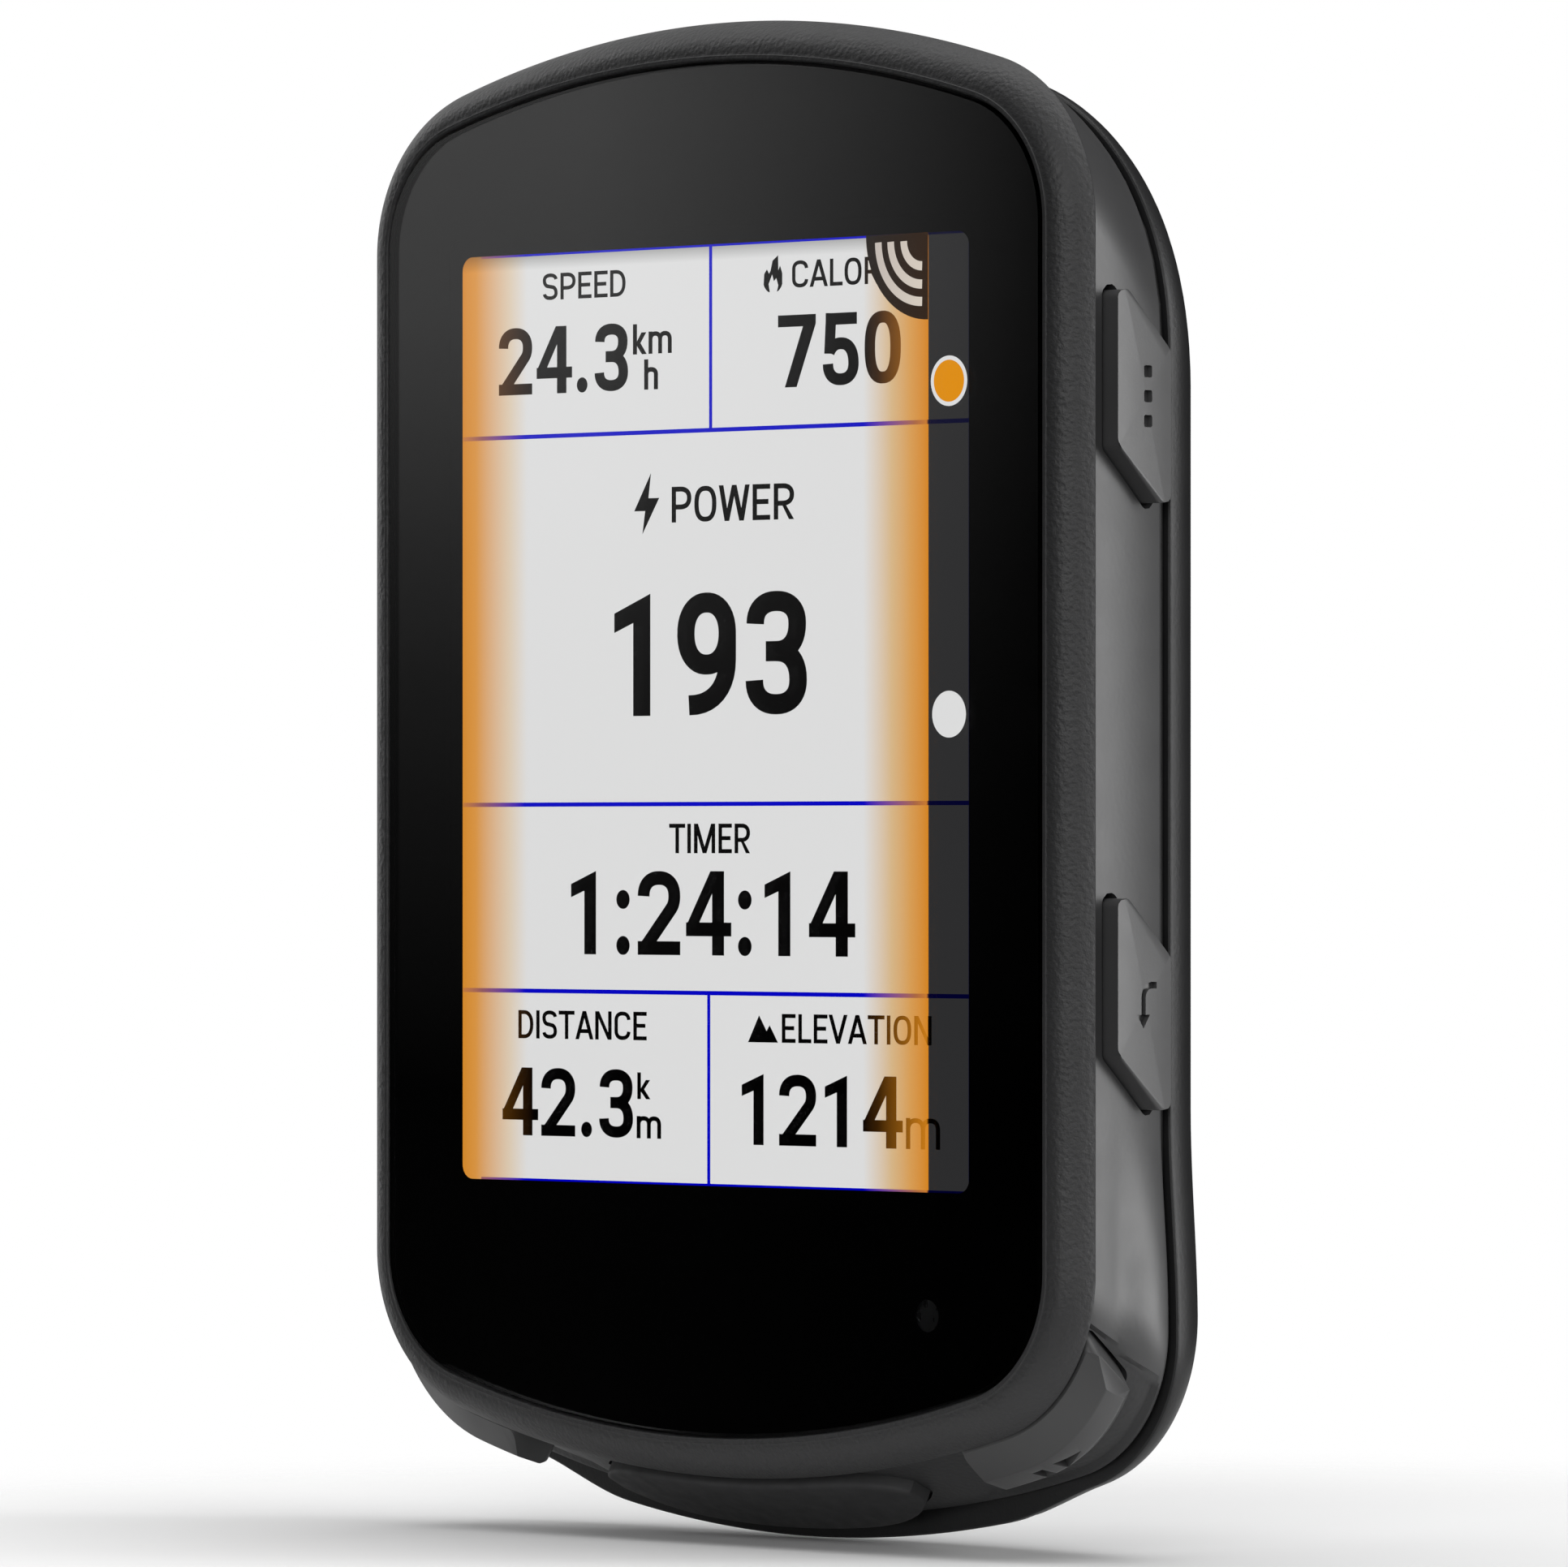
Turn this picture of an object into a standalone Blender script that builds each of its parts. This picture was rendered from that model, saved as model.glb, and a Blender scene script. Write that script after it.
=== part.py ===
"""Cycling computer with a touch screen, seven buttons and a quarter-turn mount.

Lengths are in millimetres until place() turns them into metres. A point is given by x (to the
right, seen from the front), depth (back from the face of the glass) and height (up from the middle
of the screen). The origin is the middle of the mount's flat rear face, with +Z up and -Y forward.
"""

import math

import bmesh
import bpy
from mathutils import Vector

# Where the glass lies in front of the mount's flat face, and how far the screen is above its middle.
GLASS_TO_MOUNT = 19.6
SCREEN_ABOVE_MOUNT = 3.6

# Outline of the cover glass: two flat end arcs joined to straight sides by tighter corners.
GLASS_HALF_WIDTH = 25.65
GLASS_TOP = 36.2
GLASS_BOTTOM = -40.06
GLASS_END_RADIUS = 74.0
GLASS_CORNER_RADIUS = 7.0
GLASS_THICKNESS = 0.7

# The body keeps this outline, offset outwards. Behind the crease it slides down, less at its top, where its
# corners also grow rounder.
CREASE_OFFSET = 2.5
CREASE_DEPTH = 1.85
SLANT = 0.518
TOP_SLANT = 0.15
UPPER_CORNER_GROWTH = 6.5
REAR_OFFSET = 1.75
WALL = 1.6
HOUSING_FRONT = 2.25
HOUSING_REAR = 8.2
POCKET_DEPTH = 0.35
POCKET_TOP = -33.2

# The rear cover's rounding, measured in from its rim at the sides, the top and the bottom.
COVER_FRONT = 8.55
COVER_RIM = 8.9
COVER_BULGE = 5.5
SIDE_INSET = 9.5
TOP_INSET = 18.0
BOTTOM_INSET = 12.0
COVER_WALL = 1.5
LIP_HALF_LENGTH = 15.3
LIP_DROP = 0.7
FLARE = 0.6

# Quarter-turn mount.
MOUNT_HEIGHT = -SCREEN_ABOVE_MOUNT
MOUNT_NECK_RADIUS = 12.2
MOUNT_TAB_RADIUS = 15.3
MOUNT_TAB_HALF_ANGLE = 27.0
MOUNT_TAB_DEPTH = 17.9
MOUNT_SCREW_SPACING = 14.0

# Layers behind the glass, as (front depth, rear depth).
GASKET_LAYER = (0.82, 1.13)
LCD_LAYER = (0.85, 1.75)
BACKLIGHT_LAYER = (1.85, 2.5)
FRAME_LAYER = (2.75, 3.35)
BOARD_LAYER = (3.6, 4.4)
PART_FRONT = 4.55
BATTERY_LAYER = (7.3, 11.3)
CHASSIS_OFFSET = -1.6

# Buttons.
BUTTON_TRAVEL_ROOM = 0.2
SIDE_BUTTON_FACE = 28.9
SIDE_BUTTON_FRONT = 3.14
SIDE_BUTTON_REAR = 7.19
SIDE_BUTTON_LENGTH = 9.3
SIDE_BUTTON_LEAN = 3.6
CORNER_BUTTON_FRONT = 2.35
CORNER_BUTTON_REAR = 5.8
CORNER_BUTTON_HALF_LENGTH = 5.9
CORNER_BUTTON_MIDDLE = (22.9, -37.8)
CORNER_BUTTON_OUT = (0.56, -0.828)
SWITCH_DEPTH = 5.4

SIDE_FLANGE = (25.0, 25.5)
SIDE_FLANGE_WIDTH = 0.6
SIDE_SWITCH_X = 24.4
RIGHT_HEIGHTS = (17.1, -15.9)
LEFT_HEIGHTS = (17.1, 0.6, -15.9)
CORNER_BUTTON_INNER = -2.1
CORNER_STEM_INNER = -4.2
CORNER_SWITCH_REACH = -4.8
SWITCH_LENGTH = 3.0

# Socket for charging, the opening in front of it, and the flap that closes it.
PORT_HALF_WIDTH = 4.9
PORT_DEPTHS = (4.7, 8.0)
RECEPTACLE_HALF_WIDTH = 4.47
RECEPTACLE_DEPTHS = (4.75, 7.95)
RECEPTACLE_HEIGHTS = (-42.3, -35.2)
RECEPTACLE_WALL = 0.3
USB_CAP_HALF_LENGTH = 12.0
USB_CAP_FRONT = 2.6
USB_CAP_REAR = 7.6
USB_CAP_LIFT = 0.9
USB_PLUG_HALF_WIDTH = 3.6
USB_PLUG_DEPTHS = (5.5, 7.3)
USB_PLUG_HEIGHTS = (-44.3, -42.55)

# Screws, with the wells, bosses and columns that take them.
CASE_SCREWS = ((17.5, 24.0), (-17.5, 24.0), (12.8, -34.3), (-12.8, -34.3))
CASE_SCREW_TIP = 5.2
CASE_SCREW_HEAD = (11.75, 12.7)
CASE_BOSS_RADIUS = 3.2
CASE_BOSS_REAR = 12.7
COLUMN_RADIUS = 2.5
COLUMN_REAR = 8.3
WELL_RADIUS = 2.35
WELL_FLOOR = 11.6
MOUNT_SCREW_TIP = 12.5
MOUNT_SCREW_HEAD = (18.25, 19.2)
MOUNT_BOSS_RADIUS = 2.4
MOUNT_BOSS_FRONT = 11.7
MOUNT_WELL_FLOOR = 18.1
SCREW_RADIUS = 1.0
SCREW_HEAD_RADIUS = 2.0
SCREW_HOLE_RADIUS = 1.25
THREAD_HOLE_RADIUS = 1.15

# Openings in the rear cover.
TETHER_X = 16.4
TETHER_HALF_WIDTH = 0.5
TETHER_DEPTHS = (9.07, 10.23)
TETHER_HEIGHTS = (-48.0, -43.4)
VENT_MIDDLE = (-20.0, -12.0)
VENT_RADIUS = 0.6

END_STEPS = (0.0, 0.17, 0.34, 0.51, 0.68, 0.76, 0.88)
CORNER_STEPS = (0.0, 0.13, 0.26, 0.40, 0.55, 0.70, 0.77, 0.79, 0.90, 1.0)
SIDE_STEPS = (0.25, 0.5, 0.75)


def clear_scene():
    for obj in list(bpy.data.objects):
        bpy.data.objects.remove(obj)


def place(x, depth, height):
    return Vector((x, depth - GLASS_TO_MOUNT, height + SCREEN_ABOVE_MOUNT)) / 1000


def smooth(value):
    value = min(max(value, 0.0), 1.0)
    return value * value * (3 - 2 * value)


def slide_down(depth, height):
    """Drop of the body behind the crease: the full slant at its lower half, and little of it at its top."""
    slant = SLANT + (TOP_SLANT - SLANT) * smooth(height / 30)
    return -slant * max(0.0, depth - CREASE_DEPTH)


def end_outline(half_width, end, end_radius, corner_radius):
    """One quarter of the outline, from the middle of the end to the start of the straight side."""
    reach = end_radius - corner_radius
    inner = half_width - corner_radius
    corner_height = end - end_radius + math.sqrt(reach * reach - inner * inner)
    turn = math.acos(inner / reach)
    joint_x = end_radius * math.cos(turn)
    points = []
    for step in END_STEPS:
        x = joint_x * step
        points.append((x, end - end_radius + math.sqrt(end_radius**2 - x * x)))
    for step in CORNER_STEPS:
        angle = turn * (1 - step)
        x = inner + corner_radius * math.cos(angle)
        points.append((x, corner_height + corner_radius * math.sin(angle)))
    return points


def outline(half_width, top, bottom, end_radius, corner_radius, upper_growth):
    """Closed outline as (x, height), clockwise from the middle of the top end."""
    upper = end_outline(half_width, top, end_radius, corner_radius + upper_growth)
    lower = [(x, -y) for x, y in end_outline(half_width, -bottom, end_radius, corner_radius)]
    first, last = upper[-1][1], lower[-1][1]
    side = [(half_width, first + (last - first) * step) for step in SIDE_STEPS]
    right = upper + side + lower[::-1]
    left = [(-x, y) for x, y in right[-2:0:-1]]
    return right + left


def body_outline(offset, top_offset=None, bottom_offset=None, corner=None, depth=0.0):
    """The glass outline moved outwards by the offset, or by other amounts at its two ends."""
    share = min(max((depth - HOUSING_FRONT) / (HOUSING_REAR - HOUSING_FRONT), 0.0), 1.0)
    top = GLASS_TOP + (offset if top_offset is None else top_offset)
    bottom = GLASS_BOTTOM - (offset if bottom_offset is None else bottom_offset)
    corner = GLASS_CORNER_RADIUS + offset if corner is None else corner
    growth = UPPER_CORNER_GROWTH * share
    return outline(GLASS_HALF_WIDTH + offset, top, bottom, GLASS_END_RADIUS + offset, corner, growth)


def ring(shape, depth):
    """A body outline at its depth, slid down with the slant of the body."""
    return [place(x, depth, y + slide_down(depth, y)) for x, y in shape]


def flared(shape, amount):
    """The outline widened by the amount towards its lower corners."""
    wide = []
    for x, y in shape:
        push = amount * smooth((-18 - y) / 12) * smooth(abs(x) / 20)
        wide.append((x + math.copysign(push, x), y))
    return wide


def dropped(shape, amount):
    """The outline with its lower middle let down by the amount, for the lip under the rear cover."""
    low = []
    for x, y in shape:
        inside = smooth((LIP_HALF_LENGTH + 0.8 - abs(x)) / 1.6)
        low.append((x, y - (amount * inside if y < GLASS_BOTTOM * 0.8 else 0.0)))
    return low


def pocketed(shape, amount):
    """The outline set in by the amount around both lower corner buttons."""
    inset = []
    for x, y in shape:
        if y < POCKET_TOP and abs(x) > LIP_HALF_LENGTH:
            length = math.hypot(x, y)
            inset.append((x * (1 - amount / length), y * (1 - amount / length)))
        else:
            inset.append((x, y))
    return inset


def finish(obj, colour, roughness, metallic=0.0):
    material = bpy.data.materials.new(obj.name)
    material.use_nodes = True
    shader = material.node_tree.nodes["Principled BSDF"]
    shader.inputs["Base Color"].default_value = (*colour, 1.0)
    shader.inputs["Roughness"].default_value = roughness
    shader.inputs["Metallic"].default_value = metallic
    obj.data.materials.clear()
    obj.data.materials.append(material)
    return obj


def mesh_object(name, points, faces, origin=None):
    """One object whose faces all look outwards, with its origin where it is wanted."""
    origin = origin or Vector((0, 0, 0))
    mesh = bpy.data.meshes.new(name)
    mesh.from_pydata([point - origin for point in points], [], faces)
    shape = bmesh.new()
    shape.from_mesh(mesh)
    bmesh.ops.recalc_face_normals(shape, faces=shape.faces)
    if shape.calc_volume(signed=True) < 0:
        bmesh.ops.reverse_faces(shape, faces=shape.faces)
    shape.to_mesh(mesh)
    shape.free()
    obj = bpy.data.objects.new(name, mesh)
    obj.location = origin
    bpy.context.scene.collection.objects.link(obj)
    return obj


def loft(name, rings, closed=False, origin=None):
    """A body through rings that all hold the same number of points, capped at both ends unless closed."""
    count = len(rings[0])
    points = [point for one in rings for point in one]
    spans = [(i, i + 1) for i in range(len(rings) - 1)]
    if closed:
        spans.append((len(rings) - 1, 0))
    faces = []
    for first, second in spans:
        for i in range(count):
            j = (i + 1) % count
            faces.append((first * count + i, first * count + j, second * count + j, second * count + i))
    if not closed:
        faces.append(tuple(range(count)))
        faces.append(tuple((len(rings) - 1) * count + i for i in reversed(range(count))))
    return mesh_object(name, points, faces, origin)


def combine(obj, other, operation):
    """The object after a Boolean with the other one, which is used up."""
    modifier = obj.modifiers.new("combine", "BOOLEAN")
    modifier.object = other
    modifier.operation = operation
    modifier.solver = "EXACT"
    bpy.context.view_layer.update()
    graph = bpy.context.evaluated_depsgraph_get()
    result = bpy.data.meshes.new_from_object(obj.evaluated_get(graph))
    obj.modifiers.remove(modifier)
    obj.data = result
    bpy.data.objects.remove(other)
    return obj


def cut(obj, cutter):
    return combine(obj, cutter, "DIFFERENCE")


def join(obj, other):
    return combine(obj, other, "UNION")


def rounded(points, radius, steps=3):
    """The polygon with each corner replaced by an arc."""
    result = []
    count = len(points)
    for i, corner in enumerate(points):
        before = (Vector(points[i - 1]) - Vector(corner)).normalized()
        after = (Vector(points[(i + 1) % count]) - Vector(corner)).normalized()
        half = before.angle(after) / 2
        centre = Vector(corner) + (before + after).normalized() * radius / math.sin(half)
        start = Vector(corner) + before * radius / math.tan(half) - centre
        end = Vector(corner) + after * radius / math.tan(half) - centre
        for step in range(steps + 1):
            arm = start.lerp(end, step / steps)
            result.append(tuple(centre + arm.normalized() * radius))
    return result


def rectangle(low_x, high_x, low_y, high_y, radius=0.0, steps=2):
    corners = [(low_x, low_y), (high_x, low_y), (high_x, high_y), (low_x, high_y)]
    return rounded(corners, radius, steps) if radius else corners


def circle(x, y, radius, steps=24):
    turns = [2 * math.pi * i / steps for i in range(steps)]
    return [(x + radius * math.cos(turn), y + radius * math.sin(turn)) for turn in turns]


def plate(name, polygon, layer, chamfer=0.0):
    """A flat part: its polygon, as (x, height), drawn out between two depths."""
    front, rear = layer
    if not chamfer:
        return loft(name, [[place(x, depth, y) for x, y in polygon] for depth in (front, rear)])
    middle = Vector((sum(p[0] for p in polygon), sum(p[1] for p in polygon))) / len(polygon)
    small = []
    for point in polygon:
        arm = Vector(point) - middle
        small.append(tuple(middle + arm * (1 - chamfer / arm.length)))
    levels = ((front, small), (front + chamfer, polygon), (rear - chamfer, polygon), (rear, small))
    return loft(name, [[place(x, depth, y) for x, y in shape] for depth, shape in levels])


def front_bezel():
    """Convex frame around the glass, with the ledge that the glass is stuck to."""
    rear = HOUSING_FRONT - 0.15
    profile = (
        (CHASSIS_OFFSET, rear),
        (CHASSIS_OFFSET, 1.25),
        (0.2, 1.25),
        (0.2, 0.15),
        (0.5, 0.05),
        (1.1, 0.28),
        (1.7, 0.72),
        (2.2, 1.3),
        (CREASE_OFFSET, CREASE_DEPTH),
        (CREASE_OFFSET - 0.08, rear - 0.05),
        (CREASE_OFFSET - 0.45, rear),
    )
    obj = loft("front_bezel", [ring(body_outline(offset), depth) for offset, depth in profile], closed=True)
    return finish(obj, (0.035, 0.035, 0.036), 0.6)


def side_housing():
    """Slanted band between the bezel and the rear cover, with openings for the buttons and the USB port."""
    outside = ((HOUSING_FRONT, 2.05), (3.1, 1.9), (4.8, 1.84), (6.5, 1.79), (7.75, 1.76), (7.9, REAR_OFFSET))
    outside += ((HOUSING_REAR, REAR_OFFSET),)
    rings = []
    for depth, offset in outside:
        shape = flared(body_outline(offset, depth=depth), FLARE * smooth((depth - 4) / 4))
        rings.append(ring(pocketed(shape, POCKET_DEPTH if depth < 7.8 else 0.0), depth))
    rings.append(ring(body_outline(REAR_OFFSET - WALL, depth=HOUSING_REAR), HOUSING_REAR))
    rings.append(ring(body_outline(1.9 - WALL), HOUSING_FRONT))
    obj = loft("side_housing", rings, closed=True)
    for side in (-1, 1):
        for middle in side_button_heights(side):
            shape = side_button_shape(side, middle, BUTTON_TRAVEL_ROOM)
            cut(obj, side_prism("opening", shape, side, (24.0, 30.0)))
        cut(obj, corner_prism("opening", side, corner_button_shape(BUTTON_TRAVEL_ROOM), (-4.0, 6.0)))
    cut(obj, usb_layers("seat", 0.2, ((-0.5, 0.0), (2.5, 0.0))))
    port = rectangle(-PORT_HALF_WIDTH, PORT_HALF_WIDTH, *PORT_DEPTHS, 1.5)
    cut(obj, plate_along_height("port", port, (-46.0, -40.0)))
    return finish(obj, (0.07, 0.07, 0.072), 0.5)


def cover_ring(turn, inward=0.0, bulge=COVER_BULGE, rim=COVER_RIM, lip=LIP_DROP):
    """Ring of the rear cover at an angle from its rim (0) to its flat back (90 degrees)."""
    share = 1 - math.cos(math.radians(turn))
    depth = rim + bulge * math.sin(math.radians(turn))
    edge = REAR_OFFSET - inward
    side = edge - (SIDE_INSET - inward * 0.5) * share
    top = edge - (TOP_INSET - inward) * share
    bottom = edge - (BOTTOM_INSET - inward) * share
    shape = body_outline(side, top, bottom, corner=GLASS_CORNER_RADIUS + edge, depth=COVER_RIM)
    shape = dropped(flared(shape, FLARE * (1 - share)), lip * (1 - share) ** 2)
    return [place(x, depth, y + slide_down(COVER_RIM, y)) for x, y in shape]


def rear_cover():
    """Pillow-shaped cover with a lip under its lower edge, four screw wells and the mount's seat."""
    inner_bulge = COVER_RIM + COVER_BULGE - COVER_WALL - COVER_FRONT
    rings = [cover_ring(turn, WALL, inner_bulge, COVER_FRONT, 0.0) for turn in (90, 68, 45, 22, 0)]
    rings.append(cover_ring(0, 0.15, 0.0, COVER_FRONT))
    rings.append(cover_ring(0, 0.0, 0.0, COVER_FRONT + 0.15))
    rings += [cover_ring(turn) for turn in (0, 14, 28, 42, 56, 70, 80, 90)]
    obj = loft("rear_cover", rings)
    flat = COVER_RIM + COVER_BULGE
    for x, y in CASE_SCREWS:
        join(obj, plate("boss", circle(x, y, CASE_BOSS_RADIUS, 16), (COVER_FRONT + 0.1, CASE_BOSS_REAR)))
    for side in (-1, 1):
        middle = (side * MOUNT_SCREW_SPACING / 2, MOUNT_HEIGHT)
        boss_layer = (MOUNT_BOSS_FRONT, flat - COVER_WALL / 2)
        join(obj, plate("boss", circle(*middle, MOUNT_BOSS_RADIUS, 16), boss_layer))
        cut(obj, plate("hole", circle(*middle, THREAD_HOLE_RADIUS, 12), (MOUNT_BOSS_FRONT + 0.5, flat + 1)))
        near, far = side * TETHER_X - TETHER_HALF_WIDTH, side * TETHER_X + TETHER_HALF_WIDTH
        cut(obj, plate("tether", rectangle(near, far, *TETHER_HEIGHTS), TETHER_DEPTHS))
    for x, y in CASE_SCREWS:
        cut(obj, plate("well", circle(x, y, WELL_RADIUS, 16), (WELL_FLOOR, flat + 2)))
        cut(obj, plate("hole", circle(x, y, SCREW_HOLE_RADIUS, 12), (8.0, WELL_FLOOR + 0.4)))
    cut(obj, plate("vent", circle(*VENT_MIDDLE, VENT_RADIUS, 12), (9.0, flat + 1)))
    return finish(obj, (0.05, 0.05, 0.052), 0.5)


def housing_seal():
    profile = ((0.4, 8.28), (1.35, 8.28), (1.35, 8.47), (0.4, 8.47))
    rings = [ring(body_outline(offset, depth=depth), depth) for offset, depth in profile]
    obj = loft("housing_seal", rings, closed=True)
    return finish(obj, (0.01, 0.01, 0.01), 0.8)


def cover_glass():
    profile = ((-0.12, 0.0), (0.0, 0.12), (0.0, GLASS_THICKNESS))
    obj = loft("cover_glass", [ring(body_outline(offset), depth) for offset, depth in profile])
    return finish(obj, (0.02, 0.02, 0.022), 0.08)


def glass_gasket():
    front, rear = GASKET_LAYER
    profile = ((-1.4, front), (-0.15, front), (-0.15, rear), (-1.4, rear))
    obj = loft("glass_gasket", [ring(body_outline(offset), depth) for offset, depth in profile], closed=True)
    return finish(obj, (0.01, 0.01, 0.01), 0.8)


def light_sensor():
    obj = plate("light_sensor", circle(16.9, -33.0, 0.9, 20), (0.8, 1.2))
    return finish(obj, (0.03, 0.03, 0.03), 0.3)


def lcd_panel():
    obj = plate("lcd_panel", rectangle(-21.2, 21.2, -28.8, 27.4, 1.0), LCD_LAYER)
    return finish(obj, (0.7, 0.7, 0.7), 0.3)


def lcd_backlight():
    obj = plate("lcd_backlight", rectangle(-20.9, 20.9, -28.4, 27.1, 0.8), BACKLIGHT_LAYER)
    return finish(obj, (0.8, 0.8, 0.78), 0.4)


def chassis_shape(name, layer):
    """A flat part that fills the housing, cut back for the lower corner buttons and the display's ribbon."""
    shape = body_outline(CHASSIS_OFFSET)
    rings = [[place(x, depth, y + slide_down(layer[0], y)) for x, y in shape] for depth in layer]
    obj = loft(name, rings)
    for side in (-1, 1):
        swept = [(-9.0, layer[0] - 1), (9.0, layer[0] - 1), (9.0, layer[1] + 1), (-9.0, layer[1] + 1)]
        cut(obj, corner_prism("corner", side, swept, (-3.35, 9.0)))
    return cut(obj, plate("slot", rectangle(-6.6, 6.6, -33.2, -30.6, 0.5), (layer[0] - 1, layer[1] + 1)))


def mid_frame():
    """Moulded chassis with four columns that the case screws go into."""
    obj = chassis_shape("mid_frame", FRAME_LAYER)
    for x, y in CASE_SCREWS:
        join(obj, plate("column", circle(x, y, COLUMN_RADIUS, 16), (FRAME_LAYER[0] + 0.2, COLUMN_REAR)))
        hole_layer = (CASE_SCREW_TIP - 1, COLUMN_REAR + 0.7)
        cut(obj, plate("hole", circle(x, y, THREAD_HOLE_RADIUS, 12), hole_layer))
    return finish(obj, (0.12, 0.12, 0.13), 0.6)


def main_board():
    obj = chassis_shape("main_board", BOARD_LAYER)
    for x, y in CASE_SCREWS:
        cut(obj, plate("hole", circle(x, y, COLUMN_RADIUS + 0.4, 16), (3.0, 5.0)))
    return finish(obj, (0.02, 0.12, 0.06), 0.5)


def rf_shield():
    obj = plate("rf_shield", rectangle(-11.0, 9.0, 1.0, 18.5, 0.8), (PART_FRONT, 6.3), chamfer=0.2)
    return finish(obj, (0.6, 0.6, 0.6), 0.3, 1.0)


def gnss_antenna():
    obj = plate("gnss_antenna", rectangle(-6.5, 6.5, 19.8, 32.0, 0.5), (PART_FRONT, 6.9), chamfer=0.15)
    return finish(obj, (0.7, 0.66, 0.58), 0.5)


def buzzer():
    obj = plate("buzzer", circle(-11.5, -19.5, 4.5, 24), (PART_FRONT, 6.6), chamfer=0.2)
    return finish(obj, (0.03, 0.03, 0.03), 0.6)


def barometer():
    obj = plate("barometer", rectangle(8.9, 11.1, -25.2, -22.8, 0.2), (PART_FRONT, 5.5))
    return finish(obj, (0.65, 0.65, 0.66), 0.3, 1.0)


def vent_membrane():
    """Breathable disc stuck inside the rear cover over the barometer's vent."""
    obj = plate("vent_membrane", circle(*VENT_MIDDLE, VENT_RADIUS + 0.7, 16), (11.1, 11.3))
    return finish(obj, (0.85, 0.85, 0.85), 0.7)


def battery_connector():
    obj = plate("battery_connector", rectangle(10.8, 14.8, -6.0, 0.0, 0.3), (PART_FRONT, 6.4), chamfer=0.15)
    return finish(obj, (0.8, 0.78, 0.7), 0.5)


def battery_cell():
    obj = plate("battery_cell", rectangle(-15.2, 15.2, -26.5, 17.0, 2.0, 4), BATTERY_LAYER, chamfer=0.8)
    return finish(obj, (0.55, 0.56, 0.58), 0.35, 0.6)


def display_flex():
    """Ribbon from the foot of the display round through the chassis to the back of the board."""
    centre, half_thickness, bend, half_width = 3.05, 0.1, 1.75, 5.8
    display_end, bend_height, board_end = -29.2, -30.5, -27.6
    sides = []
    for radius in (bend + half_thickness, bend - half_thickness):
        side = [(centre - radius, display_end)]
        for step in range(9):
            turn = math.pi * step / 8
            side.append((centre - radius * math.cos(turn), bend_height - 0.85 * radius * math.sin(turn)))
        side.append((centre + radius, board_end))
        sides.append(side)
    section = sides[0] + sides[1][::-1]
    rings = [[place(x, depth, y) for depth, y in section] for x in (-half_width, half_width)]
    return finish(loft("display_flex", rings), (0.45, 0.22, 0.05), 0.4)


def plate_along_height(name, polygon, heights):
    """A part drawn out upwards: its polygon is given as (x, depth)."""
    return loft(name, [[place(x, depth, y) for x, depth in polygon] for y in heights])


def usb_receptacle():
    """Hollow metal shell of the USB socket, open downwards."""
    half, (front, rear), (low, high) = RECEPTACLE_HALF_WIDTH, RECEPTACLE_DEPTHS, RECEPTACLE_HEIGHTS
    obj = plate_along_height("usb_receptacle", rectangle(-half, half, front, rear, 1.5, 4), (low, high))
    wall = RECEPTACLE_WALL
    inside = rectangle(wall - half, half - wall, front + wall, rear - wall, 1.25, 4)
    cut(obj, plate_along_height("mouth", inside, (low - 0.7, high - 1.0)))
    tongue = rectangle(-3.3, 3.3, 6.0, 6.7)
    join(obj, plate_along_height("tongue", tongue, (low + 1.0, high - 0.8)))
    return finish(obj, (0.62, 0.62, 0.63), 0.3, 1.0)


def usb_point(x, depth, lift):
    """A point over the slanted underside of the housing, lifted off it by the given amount."""
    radius = GLASS_END_RADIUS + 1.9
    sag = radius - math.sqrt(radius**2 - x * x)
    height = GLASS_BOTTOM - 1.85 + sag + slide_down(depth, GLASS_BOTTOM)
    length = math.hypot(1.0, SLANT)
    return place(x, depth - lift * SLANT / length, height - lift / length)


def usb_layers(name, margin, layers, origin=None):
    """Lens-shaped flap over the port. Each layer is (height over the surface, how much smaller it is)."""
    rings = []
    middle = (USB_CAP_FRONT + USB_CAP_REAR) / 2
    for lift, smaller in layers:
        grow = margin - smaller
        half_length = USB_CAP_HALF_LENGTH + grow
        half_width = (USB_CAP_REAR - USB_CAP_FRONT) / 2 + grow
        front, rear = [], []
        for step in range(13):
            x = -half_length + 2 * half_length * step / 12
            share = abs(x) / half_length
            half = half_width * (1 - 0.75 * share**6)
            front.append(usb_point(x, middle - half, lift))
            rear.append(usb_point(x, middle + half, lift))
        rings.append(front + rear[::-1])
    count = len(rings[0])
    faces = []
    for level in (0, len(rings) - 1):
        for i in range(count // 2 - 1):
            quad = (i, i + 1, count - 2 - i, count - 1 - i)
            faces.append(tuple(level * count + k for k in quad))
    for level in range(len(rings) - 1):
        for i in range(count):
            j = (i + 1) % count
            low, high = level * count, (level + 1) * count
            faces.append((low + i, low + j, high + j, high + i))
    return mesh_object(name, [p for one in rings for p in one], faces, origin)


def usb_cap():
    """Rubber flap with a plug for the port, hinged along its rear edge."""
    pivot = usb_point(0.0, USB_CAP_REAR, USB_CAP_LIFT)
    layers = ((-0.3, 0.0), (USB_CAP_LIFT - 0.2, 0.0), (USB_CAP_LIFT, 0.25))
    obj = usb_layers("usb_cap", 0.0, layers, pivot)
    plug = rectangle(-USB_PLUG_HALF_WIDTH, USB_PLUG_HALF_WIDTH, *USB_PLUG_DEPTHS, 0.5)
    join(obj, plate_along_height("plug", plug, USB_PLUG_HEIGHTS))
    return finish(obj, (0.03, 0.03, 0.03), 0.7)


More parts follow.
